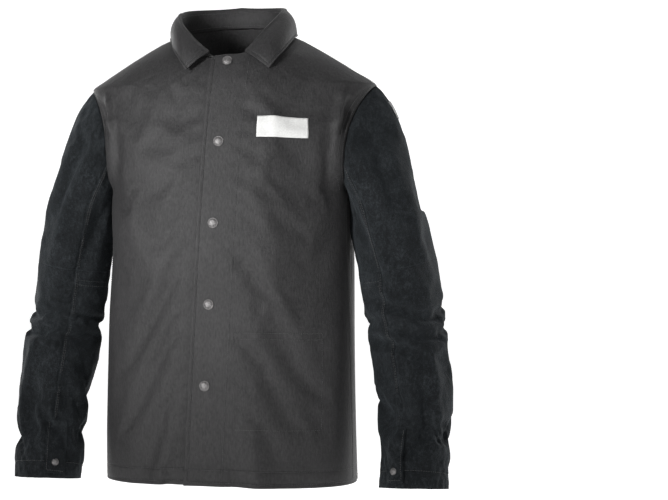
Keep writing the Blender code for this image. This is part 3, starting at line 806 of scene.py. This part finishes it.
def on_back(share, z, lift):
    turn = last_turn(z) * share
    return body_point(1, turn, z) + body_normal(1, turn, z) * lift + FIELDS["back"].at(turn, z)


def on_sleeve(side, degrees, along, lift):
    point = mirrored(side, sleeve_point(math.radians(degrees), along, lift))
    return point + FIELDS[side_word(side) + "_sleeve"].at(degrees % 360.0, travel(along))


def on_tab(side, degrees, z):
    """The outer face of a cuff's vent tab."""
    share = (degrees - TAB_ANGLES[0]) / (TAB_ANGLES[1] - TAB_ANGLES[0])
    room = 0.0014 + (TAB_ROOM + FACING - 0.0014) * (1 - smooth((share - 0.45) / 0.55))
    return on_sleeve(side, degrees, z, 0.0020 + (room - 0.0014) * smooth((TAB_Z[1] - z) / 0.03))


# ---------------------------------------------------------------- body panels

HEM_STITCHES = (0.006, 0.026)                    # heights of the two rows above the hem
EDGE_STITCH = 0.006                              # topstitch distance from a free edge
FACING_WIDTH_STITCH = 0.062                      # line where the facing is caught down
POCKET_X, POCKET_Z = (0.030, 0.172), (-0.655, -0.492)
POCKET_HEM = 0.014                               # second row at the pocket's mouth
STITCH_OFFSETS = (-0.0028, -0.0012, 0.0, 0.0012, 0.0028)
EDGE_POINTS = (0.0010, 0.0028, 0.0046, 0.0060, 0.0074, 0.0092, 0.0120)    # close points beside a front's edge
SEAM_HOLLOW = (0.0030, 0.0012)                   # width and depth of the hollow at the side seams


def refined(values, lines, offsets=STITCH_OFFSETS):
    """Adds close values beside each line, so that a stitched groove has points to bend at."""
    low, high = min(values), max(values)
    extra = [line + offset for line in lines for offset in offsets if low < line + offset < high]
    kept = [value for value in values if all(abs(value - other) > 0.4 * max(offsets) for other in extra)
            or value in (low, high)]
    return sorted(set(kept + extra))


def torso_levels():
    rows = refined(even(HEM_Z, THROAT_Z, 110), [HEM_Z + height for height in HEM_STITCHES])
    return sorted(set(rows + [ARMPIT_Z, ARMPIT_Z + 0.003, ARMPIT_Z + 0.001, TIP_Z]))


def hem_grooves(z):
    return sum(groove(z - HEM_Z - height, 0.0018, 0.0008) for height in HEM_STITCHES)


def front_sheet(side):
    """One front from its free edge to the side seam, as a grid of points."""
    throat = [THROAT_Z * math.cos(math.pi / 2 * index / 16) for index in range(1, 16)]
    grid = []
    for z in torso_levels() + throat + [-0.0008]:
        first, last = front_span(side, z)
        start_x = body_point(-1, first, z).x
        near = [turn_at(start_x + width, z) for width in EDGE_POINTS]
        turns = [first] + near + [near[-1] + (last - near[-1]) * share for share in even(0.0, 1.0, 64)[1:]]
        line = []
        for turn in turns:
            x = body_point(-1, turn, z).x
            lift = hem_grooves(z)
            if z <= THROAT_Z:
                edge = x - start_x
                lift += groove(edge - EDGE_STITCH, 0.0016, 0.0007) - 0.0008 * smooth(1 - edge / 0.002)
            lift += groove((last - turn) * 0.29, *SEAM_HOLLOW)
            seam = smooth((armhole_x(z) - x) / 0.008) if z > ARMPIT_Z else 1.0
            lift += seam * sum(crease(x, z, *fold) for fold in ARMHOLE_CREASES)
            line.append(on_front(side, x, z, lift))
        grid.append(line)
    return grid


def back_sheet():
    nape = [NAPE_Z * share for share in (0.3, 0.55, 0.8, 0.93, 0.985)]
    rows = torso_levels() + even(THROAT_Z, 0.0, 10)[1:] + nape
    return [[on_back(share, z, hem_grooves(z) + groove((1 - abs(share)) * 0.29, *SEAM_HOLLOW))
             for share in even(-1.0, 1.0, 124)] for z in rows]


def blend_front(piece):
    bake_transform(piece)


SURFACES = {}


def remember(word, piece):
    SURFACES[word] = BVHTree.FromObject(piece, bpy.context.evaluated_depsgraph_get())


def finish_sheet(piece, depth, levels, nodes, attach):
    """Gives a sheet its thickness, hides its frame nodes and attaches it to its body."""
    thicken(piece, depth, levels)
    if nodes:
        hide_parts(*nodes)
    attach(piece)


def riding(body):
    return lambda piece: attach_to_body(piece, body)


def make_fronts():
    for side, word in SIDES:
        cut = front_sheet(side)
        piece = grid_object(word + "_front_cloth", cut, COTTON)
        face_out(piece, axis_of_torso)
        remember(word + "_front", piece)
        nodes = (word + "_front_side", word + "_front_flap")
        finish_sheet(piece, 0.0018, 1, nodes, lambda made: blend_front(made))
        grid = [[on_front(side, front_edge(side, z) + 0.0012 + width, z, -CLOTH - 0.0002)
                 for width in even(0.0, FACING_WIDTH, 12)]
                for z in even(HEM_Z + 0.002, THROAT_Z - 0.001, 70)]
        inner_sheet(word + "_facing_cloth", grid, side, word + "_facing", word + "_facing_upper")


def inner_sheet(name, grid, side, *nodes):
    piece = grid_object(name, grid, LINING)
    face_out(piece, axis_of_torso)
    finish_sheet(piece, 0.0014, 0, nodes, lambda made: blend_front(made))


def make_pocket():
    """The inside pocket: a flat patch sewn behind the wearer's left front."""
    grid = [[on_front(1, x, z, -CLOTH - 0.0004)
             for x in even(max(POCKET_X[0], front_edge(1, z) + FACING_WIDTH + 0.003), POCKET_X[1], 30)]
            for z in even(*POCKET_Z, 32)]
    inner_sheet("inside_pocket_cloth", grid, 1, "inside_pocket_flap_part", "inside_pocket_side_part")


def make_back():
    cut = back_sheet()
    piece = grid_object("back_cloth", cut, COTTON)
    face_out(piece, axis_of_torso)
    remember("back", piece)
    finish_sheet(piece, 0.0018, 1, ("back_panel",), riding(BODY))


# ---------------------------------------------------------------- sleeves

# Lengthwise folds of the leather: middle (degrees), width (degrees), height, top and low end (z)
SLEEVE_FOLDS = (
    (62.0, 9.0, -0.0065, -0.13, -0.34), (84.0, 10.0, 0.0040, -0.15, -0.40),
    (35.0, 14.0, 0.0030, -0.16, -0.44), (118.0, 12.0, -0.0045, -0.24, -0.46),
    (20.0, 10.0, -0.0030, -0.30, -0.60), (75.0, 12.0, -0.0035, -0.44, -0.72),
    (50.0, 12.0, 0.0030, -0.46, -0.70), (300.0, 14.0, -0.0050, -0.16, -0.42),
    (325.0, 14.0, 0.0035, -0.20, -0.50), (270.0, 12.0, 0.0030, -0.24, -0.52),
    (210.0, 14.0, -0.0040, -0.32, -0.56), (180.0, 14.0, 0.0030, -0.40, -0.68))


def sleeve_drape(side, angle, z, point):
    """Folds laid in: lengthwise hollows, and creases round the inside of the elbow."""
    degrees = math.degrees(angle)
    total = 0.0
    for middle, width, height, top, low in SLEEVE_FOLDS:
        off = (degrees - middle + 180.0) % 360.0 - 180.0
        fade = smooth((top - z) / 0.06) * smooth((z - low) / 0.08)
        total += height * fade * math.exp(-((off - 10.0 * math.sin(z * 11.0 + middle)) / width) ** 2)
    elbow = math.exp(-((z + 0.475) / 0.050) ** 2)
    inner = max(0.0, math.cos(angle - math.radians(105.0)))
    total += 0.0017 * elbow * (0.35 + inner) * math.sin(z * 170.0 + 2.2 * math.sin(angle * 2.0))
    total += 0.0045 * soft_noise(point, (13.0, 13.0, 6.0), 40.0 + side * 5.0)
    return total * smooth((z - CUFF_Z) / 0.05 + 0.25)


def nap_relief(side, point):
    return (0.0020 * soft_noise(point, (34.0, 34.0, 24.0), 61.0 + side * 3.0)
            + 0.0009 * soft_noise(point, (90.0, 90.0, 70.0), 77.0))


def sleeve_grid(side, stations):
    turns = refined(even(0.0, 360.0, 108)[:-1], (FRONT_SEAM, BACK_SEAM), (-2.6, -1.2, 0.0, 1.2, 2.6))
    grid = []
    for along in stations:
        line = []
        for degrees in turns:
            lift = sum(groove(degrees - seam, 1.3, 0.0016) for seam in (FRONT_SEAM, BACK_SEAM))
            if along < 0:
                lift += groove(along - CUFF_Z - CUFF_STITCH, 0.0018, 0.0009)
                if 180.0 < degrees < BACK_SEAM:
                    lift += groove(along - UNDER_SEAM_Z, 0.0022, 0.0012)
            else:
                lift += groove(along * 0.2, 0.0040, 0.0016)
            point = on_sleeve(side, degrees, along, lift)
            begin = smooth(along / 0.1) if along >= 0 else 1.0
            centre = sleeve_axis(side)(point)
            line.append(point + (point - centre).normalized() * nap_relief(side, point) * begin)
        grid.append(line)
    return grid


def sleeve_axis(side):
    def nearest(point):
        if point.z < CAP_END_Z:
            return Vector((side * through(CENTRE_X, point.z), through(CENTRE_Y, point.z), point.z))
        return Vector((side * 0.235, 0.0, min(point.z, -0.19)))
    return nearest


def blend_sleeve(piece):
    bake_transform(piece)


def make_sleeves():
    for side, word in SIDES:
        upper = sorted([0.006, 0.012] + even(0.0, 1.0, 46)) + even(CAP_END_Z, SLEEVE_SPLIT_Z, 18)[1:]
        rows = (CUFF_Z + CUFF_STITCH, UNDER_SEAM_Z)
        lower = sorted(refined(even(CUFF_Z, SLEEVE_SPLIT_Z, 90), rows), reverse=True)
        parts = (("upper", upper, ("sleeve_cap", "sleeve_upper_top", "sleeve_upper_under")),
                 ("lower", lower, ("sleeve_elbow", "sleeve_lower_top", "sleeve_lower_under")))
        for part, stations, nodes in parts:
            cut = sleeve_grid(side, stations)
            piece = grid_object(f"{word}_sleeve_{part}_leather", cut, SUEDE, ring=True)
            face_out(piece, sleeve_axis(side))
            remember(f"{word}_sleeve_{part}", piece)
            finish_sheet(piece, 0.0022, 1, [f"{word}_{node}" for node in nodes],
                         lambda made: blend_sleeve(made))
        make_cuff(side, word)


def make_cuff(side, word):
    """Turned-up hem inside the cuff, and the vent tab."""
    grid = [[on_sleeve(side, degrees, z, -0.0030) for degrees in even(0.0, 360.0, 72)[:-1]]
            for z in even(-0.715, CUFF_Z + 0.0006, 10)]
    hem = grid_object(word + "_cuff_turn_up", grid, SUEDE, ring=True)
    face_out(hem, sleeve_axis(side))
    finish_sheet(hem, 0.0018, 0, (word + "_cuff_facing",),
                 riding(word + "_forearm"))
    grid = [[on_tab(side, degrees, z) for degrees in even(*TAB_ANGLES, 16)]
            for z in even(TAB_Z[1], TAB_Z[0], 28)]
    tab = grid_object(word + "_cuff_tab_leather", grid, SUEDE)
    face_out(tab, sleeve_axis(side))
    remember(word + "_tab", tab)
    finish_sheet(tab, 0.0018, 1, (word + "_cuff_tab",),
                 riding(word + "_cuff_flap"))


# ---------------------------------------------------------------- collar

LEAF_STITCH = 0.90                               # share of the leaf's depth where its edge is topstitched


def collar_lines(angle):
    low, fold, edge = neckline(angle), collar_fold(angle), leaf_edge(angle)
    flat = Vector((low.x, low.y, 0.0)).normalized()
    outward = Vector((fold.x, fold.y, 0.0)).normalized()
    bottom = low - flat * (STAND_IN - 0.004) + Vector((0.0, 0.0, 0.001))
    inner_top = fold - flat * 0.0065 - Vector((0.0, 0.0, 0.0045))
    outer_top = fold + outward * 0.0005 - Vector((0.0, 0.0, 0.0035))
    return bottom, inner_top, outer_top, edge, flat, outward


def stand_point(angle, share):
    bottom, inner_top, _, _, flat, _ = collar_lines(angle)
    return bottom.lerp(inner_top, share) - flat * 0.0020 * math.sin(math.pi * share)


def leaf_point(angle, share):
    _, _, outer_top, edge, _, outward = collar_lines(angle)
    point = outer_top.lerp(edge, share) + outward * 0.0065 * math.sin(math.pi * share ** 0.8)
    point = raised_clear(point, 0.0130 if point.y < -0.03 else 0.0045)
    wave = soft_noise(point, (22.0, 22.0, 30.0), 5.5) * 0.0022 * share
    turn = abs(math.degrees(angle)) / COLLAR_FRONT
    ends = groove((1 - turn) * 0.40 - EDGE_STITCH * 1.4, 0.0016, 0.0007)
    return point + outward * (groove((share - LEAF_STITCH) * 0.06, 0.0014, 0.0009) + ends + wave)


def roll_point(angle, share):
    _, inner_top, outer_top, _, _, _ = collar_lines(angle)
    middle, swing = (inner_top + outer_top) / 2, math.pi * share
    point = middle.lerp(inner_top if share < 0.5 else outer_top, abs(math.cos(swing)))
    return point + Vector((0.0, 0.0, 0.0042 * math.sin(swing)))


def collar_angles():
    inner = even(-1.0, 1.0, 130)
    fine = [side * (1.0 - inset) for side in (1, -1) for inset in (0.004, 0.010, 0.016, 0.022, 0.028)]
    return [math.radians(COLLAR_FRONT) * share for share in sorted(set(inner + fine))]


def make_collar():
    beside_stitch = [LEAF_STITCH + step for step in (-0.045, -0.02, 0.0, 0.02, 0.045)]
    leaf = sorted(set(even(0.0, 1.0, 18)[1:] + beside_stitch))
    grid = [[stand_point(angle, share) for angle in collar_angles()] for share in even(0.0, 1.0, 12)]
    grid += [[roll_point(angle, share) for angle in collar_angles()] for share in even(0.0, 1.0, 8)[1:-1]]
    grid += [[leaf_point(angle, share) for angle in collar_angles()] for share in [0.0] + leaf]
    piece = grid_object("collar_cloth", grid, COTTON)
    mesh_data = bmesh.new()
    mesh_data.from_mesh(piece.data)
    bmesh.ops.recalc_face_normals(mesh_data, faces=mesh_data.faces)
    nape = max(mesh_data.faces, key=lambda face: face.calc_center_median().y)
    if nape.normal.y < 0:
        bmesh.ops.reverse_faces(mesh_data, faces=mesh_data.faces)
    mesh_data.to_mesh(piece.data)
    mesh_data.free()
    remember("collar", piece)
    finish_sheet(piece, 0.0022, 1, ("collar_stand", "collar_leaf"), riding(BODY))


# ---------------------------------------------------------------- stitching

LEATHER_STITCH = (0.0042, 0.0032)                # pitch and length of a stitch in the sleeves
ARMHOLE_ROW = even(TIP_Z - 0.004, ARMPIT_Z + 0.004, 80)
SIDE_ROW = even(ARMPIT_Z - 0.004, HEM_Z + 0.004, 160)
SHOULDER_ROW = even(TIP_Z + 0.002, -0.012, 60)


class Thread:
    """Rows of short stitches standing a little proud of a surface."""

    def __init__(self):
        self.points, self.faces = [], []

    def stitch(self, start, end, normal, radius):
        along = (end - start).normalized()
        beside = along.cross(normal).normalized()
        up = beside.cross(along)
        first = len(self.points)
        for share, width in ((0.0, 0.35), (0.25, 1.0), (0.75, 1.0), (1.0, 0.35)):
            centre = start.lerp(end, share) + normal * (0.0001 + 0.0003 * math.sin(math.pi * share))
            for corner in range(5):
                swing = math.tau * corner / 5
                self.points.append(centre + (beside * math.cos(swing) + up * math.sin(swing)) * radius * width)
        for ring in range(3):
            for corner in range(5):
                after = (corner + 1) % 5
                low, high = first + ring * 5, first + ring * 5 + 5
                self.faces.append((low + corner, low + after, high + after, high + corner))
        self.faces.append(tuple(first + corner for corner in reversed(range(5))))
        self.faces.append(tuple(first + 15 + corner for corner in range(5)))

    def sew(self, path, surface, pitch=0.0036, length=0.0027, radius=0.00038):
        """Sews along a path of points lying on a surface."""
        run, marks = 0.0, [0.0]
        for before, after in zip(path, path[1:]):
            run += (after - before).length
            marks.append(run)
        at, index = 0.5 * pitch, 0
        while at + length < run:
            ends = []
            for mark in (at, at + length):
                while marks[index + 1] < mark:
                    index += 1
                share = (mark - marks[index]) / max(marks[index + 1] - marks[index], 1e-9)
                ends.append(path[index].lerp(path[index + 1], share))
            place, normal, _, _ = SURFACES[surface].find_nearest((ends[0] + ends[1]) / 2)
            if place is not None:
                self.stitch(ends[0], ends[1], normal, radius)
            at += pitch

    def made(self, name):
        mesh = bpy.data.meshes.new(name)
        mesh.from_pydata([tuple(point) for point in self.points], [], self.faces)
        mesh.update()
        return link(name, mesh, THREAD)


def sew_fronts():
    for side, word in SIDES:
        thread = Thread()

        def across(z, xs):
            thread.sew([on_front(side, x, z, 0.0) for x in xs], word + "_front")

        def down(x_at, zs):
            thread.sew([on_front(side, x_at(z), z, 0.0) for z in zs], word + "_front")

        edge = even(THROAT_Z - 0.004, HEM_Z + 0.004, 220)
        down(lambda z: front_edge(side, z) + EDGE_STITCH, edge)
        if side > 0:
            down(lambda z: front_edge(side, z) + FACING_WIDTH_STITCH, edge)
        for height in HEM_STITCHES:
            across(HEM_Z + height, even(front_edge(side, HEM_Z + height) + 0.006, 0.2085, 90))
        for offset in (0.004, 0.010):                   # armhole seam, double row on the cotton side
            down(lambda z: armhole_x(z) - offset, ARMHOLE_ROW)
        down(lambda z: half_width(z) * 0.985, SIDE_ROW)
        down(lambda z: shoulder_x(z) * 0.986, SHOULDER_ROW)
        if side > 0:
            low, high = POCKET_Z
            near, far = POCKET_X[0] + 0.004, POCKET_X[1] - 0.004
            for z in (high - 0.004, high - POCKET_HEM, low + 0.004):
                across(z, even(near, far, 60))
            for x in (near, far):
                down(lambda z: x, even(low + 0.004, high - 0.004, 60))
        blend_front(thread.made(word + "_front_stitching"))


def sew_back():
    thread = Thread()
    for height in HEM_STITCHES:
        thread.sew([on_back(share, HEM_Z + height, 0.0) for share in even(-0.985, 0.985, 200)], "back")
    for side, _ in SIDES:
        rows = ((1 - 0.016, ARMHOLE_ROW), (1 - 0.034, ARMHOLE_ROW), (0.985, SIDE_ROW), (0.975, SHOULDER_ROW))
        for share, heights in rows:
            thread.sew([on_back(side * share, z, 0.0) for z in heights], "back")
    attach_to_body(thread.made("back_stitching"), BODY)


def sew_collar():
    thread = Thread()
    limit = math.radians(COLLAR_FRONT)
    for share in (LEAF_STITCH, LEAF_STITCH + 0.065):
        thread.sew([leaf_point(limit * turn, share) for turn in even(-0.978, 0.978, 260)], "collar")
    for side in (1, -1):
        thread.sew([leaf_point(side * limit * 0.979, share) for share in even(0.06, LEAF_STITCH, 30)], "collar")
    thread.sew([stand_point(limit * turn, 0.16) for turn in even(-0.97, 0.97, 200)], "collar")
    thread.sew([stand_point(limit * turn, 0.90) for turn in even(-0.97, 0.97, 200)], "collar")
    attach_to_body(thread.made("collar_stitching"), BODY)


def sew_sleeves():
    for side, word in SIDES:
        upper, lower, tab = Thread(), Thread(), Thread()

        def row(thread, part, places):
            path = [on_sleeve(side, turn, along, 0.0) for turn, along in places]
            thread.sew(path, f"{word}_sleeve_{part}", *LEATHER_STITCH)

        for seam, stop in ((FRONT_SEAM, TAB_Z[1]), (BACK_SEAM, CUFF_Z)):
            for turn in (seam + 2.6, seam + 5.0):
                stations = even(0.03, 1.0, 60) + even(CAP_END_Z, SLEEVE_SPLIT_Z + 0.002, 20)[1:]
                row(upper, "upper", [(turn, along) for along in stations])
                row(lower, "lower", [(turn, z) for z in even(SLEEVE_SPLIT_Z - 0.002, stop + 0.004, 110)])
        row(lower, "lower", [(turn, CUFF_Z + CUFF_STITCH) for turn in even(TAB_ANGLES[1], 460.0, 160)])
        for z in (UNDER_SEAM_Z - 0.004, UNDER_SEAM_Z + 0.004):
            row(lower, "lower", [(turn, z) for turn in even(FRONT_SEAM + 4, BACK_SEAM - 4, 80)])
        low, high = TAB_ANGLES[0] + 2.4, TAB_ANGLES[1] - 2.4
        for path in ([(low, z) for z in even(TAB_Z[1] - 0.003, TAB_Z[0] + 0.003, 40)],
                     [(turn, TAB_Z[0] + 0.003) for turn in even(low, high, 20)]):
            tab.sew([on_tab(side, turn, z) for turn, z in path], word + "_tab")
        blend_sleeve(upper.made(word + "_sleeve_upper_stitching"))
        blend_sleeve(lower.made(word + "_sleeve_lower_stitching"))
        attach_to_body(tab.made(word + "_cuff_tab_stitching"), word + "_cuff_flap")


# ---------------------------------------------------------------- snaps

def lathe(name, profile, place, axis, material, sides=40):
    mesh_data = bmesh.new()
    turn = Vector((0, 0, 1)).rotation_difference(axis).to_matrix()
    rings = []
    for radius, height in profile:
        count = sides if radius > 0 else 1
        ring = []
        for index in range(count):
            swing = index * math.tau / count
            spot = Vector((radius * math.cos(swing), radius * math.sin(swing), height))
            ring.append(mesh_data.verts.new(place + turn @ spot))
        rings.append(ring)
    if len(rings[0]) > 1:
        rings.append(rings[0])
    for low, high in zip(rings, rings[1:]):
        for index in range(sides):
            after = (index + 1) % sides
            corners = [low[index % len(low)], low[after % len(low)],
                       high[after % len(high)], high[index % len(high)]]
            mesh_data.faces.new(list(dict.fromkeys(corners)))
    bmesh.ops.recalc_face_normals(mesh_data, faces=mesh_data.faces)
    mesh = bpy.data.meshes.new(name)
    mesh_data.to_mesh(mesh)
    mesh_data.free()
    made = link(name, mesh, material)
    made.data.set_sharp_from_angle(angle=math.radians(35))
    return made


CAP_PROFILE = ((0.0, 0.0), (0.0079, 0.0), (0.0083, 0.0003), (0.0083, 0.0010), (0.0079, 0.0015), (0.0074, 0.0015),
               (0.0071, 0.0013), (0.0068, 0.0016), (0.0062, 0.0023), (0.0050, 0.0030), (0.0034, 0.0034),
               (0.0018, 0.0036), (0.0, 0.0037))
SOCKET_PROFILE = ((0.0032, -0.0018), (0.0040, -0.0018), (0.0044, -0.0014), (0.0058, -0.0014), (0.0065, -0.0009),
                  (0.0065, 0.0), (0.0032, 0.0))
STUD_PROFILE = ((0.0, 0.0), (0.0060, 0.0), (0.0060, 0.0006), (0.0055, 0.0010), (0.0026, 0.0010), (0.0023, 0.0016),
                (0.0026, 0.0024), (0.0023, 0.0029), (0.0, 0.0030))
POST_PROFILE = ((0.0, -0.0010), (0.0018, -0.0010), (0.0022, -0.0007), (0.0060, -0.0009), (0.0065, -0.0006),
                (0.0065, 0.0), (0.0, 0.0))


def make_snap(word, place, axis, layers, bodies, scale=1.0):
    """Cap and socket on the upper layer, stud and post on the lower one."""
    heights = (0.0003, -REST_GAP, REST_GAP, -REST_GAP)
    parts = (("cap", CAP_PROFILE), ("socket", SOCKET_PROFILE), ("stud", STUD_PROFILE), ("post", POST_PROFILE))
    for index, (part, profile) in enumerate(parts):
        sized = tuple((radius * scale, height * scale) for radius, height in profile)
        seat = place + axis * (layers[index] + heights[index])
        piece = lathe(f"{word}_{part}_metal", sized, seat, axis, PEWTER)
        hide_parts(f"{word}_{part}")
        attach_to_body(piece, bodies[index // 2])


def make_snaps():
    inner = lap_lift(1, 0.0, SNAP_CHEST_Z)
    layers = (inner + CLOTH, inner - LAYER_GAP - FACING, 0.0, -CLOTH - LAYER_GAP - FACING)
    for index in range(SNAP_COUNT):
        z = SNAP_TOP_Z - SNAP_PITCH * index
        turn = turn_at(snap_x(z), z)
        over = BODY if index < 2 else LEFT_FLAP
        under = BODY if index < 3 else RIGHT_FLAP
        place, axis = body_point(-1, turn, z), body_normal(-1, turn, z)
        make_snap(f"snap_{index + 1}", place, axis, layers, (over, under))
    for side, word in SIDES:
        angle = math.radians(CUFF_SNAP_ANGLE)
        place = sleeve_ring_point(angle, CUFF_SNAP_Z, 0.0)
        axis = mirrored(side, (sleeve_ring_point(angle, CUFF_SNAP_Z, 0.01) - place).normalized())
        place = on_sleeve(side, CUFF_SNAP_ANGLE, CUFF_SNAP_Z, 0.0)
        layers_cuff = (TAB_ROOM + FACING, TAB_ROOM, 0.0, -LEATHER - LAYER_GAP * 2 - FACING - POST_ROOM)
        make_snap(word + "_cuff_snap", place, axis, layers_cuff, (word + "_cuff_flap", word + "_forearm"), 0.70)


# ---------------------------------------------------------------- labels

def patch(name, grid, material, slot, *nodes):
    piece = grid_object(name, grid, material)
    face_out(piece, axis_of_torso)
    finish_sheet(piece, 0.0007, 0, nodes, riding(BODY))


def make_labels():
    """Plain woven labels with nothing on them."""
    patch("chest_label_woven", [[on_front(1, x, z, 0.0011) for x in even(0.066, 0.146, 30)]
                                for z in even(-0.184, -0.150, 14)], WHITE_LABEL, "woven_white", "chest_label")
    for name, half, low, high, lift, material, nodes in (
            ("neck_label_border", 0.0370, -0.0300, -0.0060, 0.0008, WHITE_LABEL, ()),
            ("neck_label_woven", 0.0350, -0.0280, -0.0080, 0.0017, RED_LABEL, ("neck_label",))):
        grid = [[on_back(turn_at(x, z) / last_turn(z), z, lift) for x in even(-half, half, 20)]
                for z in even(low, high, 8)]
        patch(name, grid, material, "woven_red", *nodes)
    grid = [[on_sleeve(1, turn % 360.0, along, 0.0016) for turn in even(-8.0, 10.0, 8)]
            for along in even(0.16, 0.30, 10)]
    patch("sleeve_label_woven", grid, GREY_LABEL, "woven_grey", "sleeve_label")


# ---------------------------------------------------------------- stage, light and camera

def make_stage():
    """A pale sweep: floor, curve and wall in one sheet."""
    radius, floor_z, wall_y = 1.5, -1.15, 4.5
    profile = [(-6.0, floor_z), (wall_y - radius, floor_z)]
    profile += [(wall_y - radius + radius * math.sin(a), floor_z + radius - radius * math.cos(a))
                for a in even(0.0, math.pi / 2, 16)[1:]]
    profile += [(wall_y, 5.0)]
    grid = [[Vector((x, y, z)) for x in (-9.0, 9.0)] for y, z in profile]
    made, _, shader = new_material("studio_paper")
    set_inputs(shader, Base_Color=(0.90, 0.90, 0.90, 1.0), Roughness=0.9,
               Emission_Color=(1.0, 1.0, 1.0, 1.0), Emission_Strength=0.66)
    paper = grid_object("studio_floor", grid, made)


def area_light(name, place, target, size, power, spread=180.0):
    lamp = bpy.data.lights.new(name, "AREA")
    lamp.shape = "RECTANGLE"
    lamp.size, lamp.size_y = size
    lamp.energy = power
    lamp.spread = math.radians(spread)
    made = bpy.data.objects.new(name, lamp)
    made.location = place
    made.rotation_euler = (Vector(target) - Vector(place)).to_track_quat("-Z", "Y").to_euler()
    bpy.context.scene.collection.objects.link(made)


def make_lights():
    world = bpy.data.worlds.new("studio_air")
    world.use_nodes = True
    tree = world.node_tree
    lighting = tree.nodes["Background"]
    set_inputs(lighting, Color=(1.0, 1.0, 1.0, 1.0), Strength=0.13)
    backdrop = add(tree, "ShaderNodeBackground", Strength=0.95)
    choice = add(tree, "ShaderNodeMixShader")
    tree.links.new(add(tree, "ShaderNodeLightPath").outputs["Is Camera Ray"], choice.inputs["Fac"])
    tree.links.new(lighting.outputs[0], choice.inputs[1])
    tree.links.new(backdrop.outputs[0], choice.inputs[2])
    tree.links.new(choice.outputs[0], tree.nodes["World Output"].inputs["Surface"])
    bpy.context.scene.world = world
    area_light("key_soft", (-1.05, -2.25, 0.00), (-0.05, -0.10, -0.23), (0.7, 0.7), 3.9, 32.0)
    area_light("fill_soft", (1.9, -2.3, 0.1), (0.05, 0.0, -0.3), (1.2, 1.4), 14.0)
    area_light("top_soft", (0.0, 0.9, 2.2), (0.0, 0.2, -0.3), (1.8, 1.2), 12.0)
    area_light("back_left", (-1.9, 1.7, 0.1), (0.0, 0.1, -0.3), (0.9, 1.6), 26.0)
    area_light("back_right", (1.9, 1.7, 0.1), (0.0, 0.1, -0.3), (0.9, 1.6), 26.0)


def make_camera():
    azimuth, distance, height = math.radians(12.0), 2.8, -0.364
    camera = bpy.data.cameras.new("photo_camera")
    camera.lens, camera.sensor_width, camera.shift_x = 89.0, 36.0, 0.151
    made = bpy.data.objects.new("photo_camera", camera)
    made.location = (distance * math.sin(azimuth), -distance * math.cos(azimuth), height)
    made.rotation_euler = (math.pi / 2, 0.0, azimuth)
    bpy.context.scene.collection.objects.link(made)
    bpy.context.scene.camera = made
    bpy.context.scene.view_settings.view_transform = "Standard"


make_camera()
make_stage()
make_lights()
drape_torso()
drape_sleeve(1)
drape_sleeve(-1)
make_back()
make_fronts()
make_pocket()
make_sleeves()
make_collar()
make_snaps()
make_labels()
sew_fronts()
sew_back()
sew_collar()
sew_sleeves()
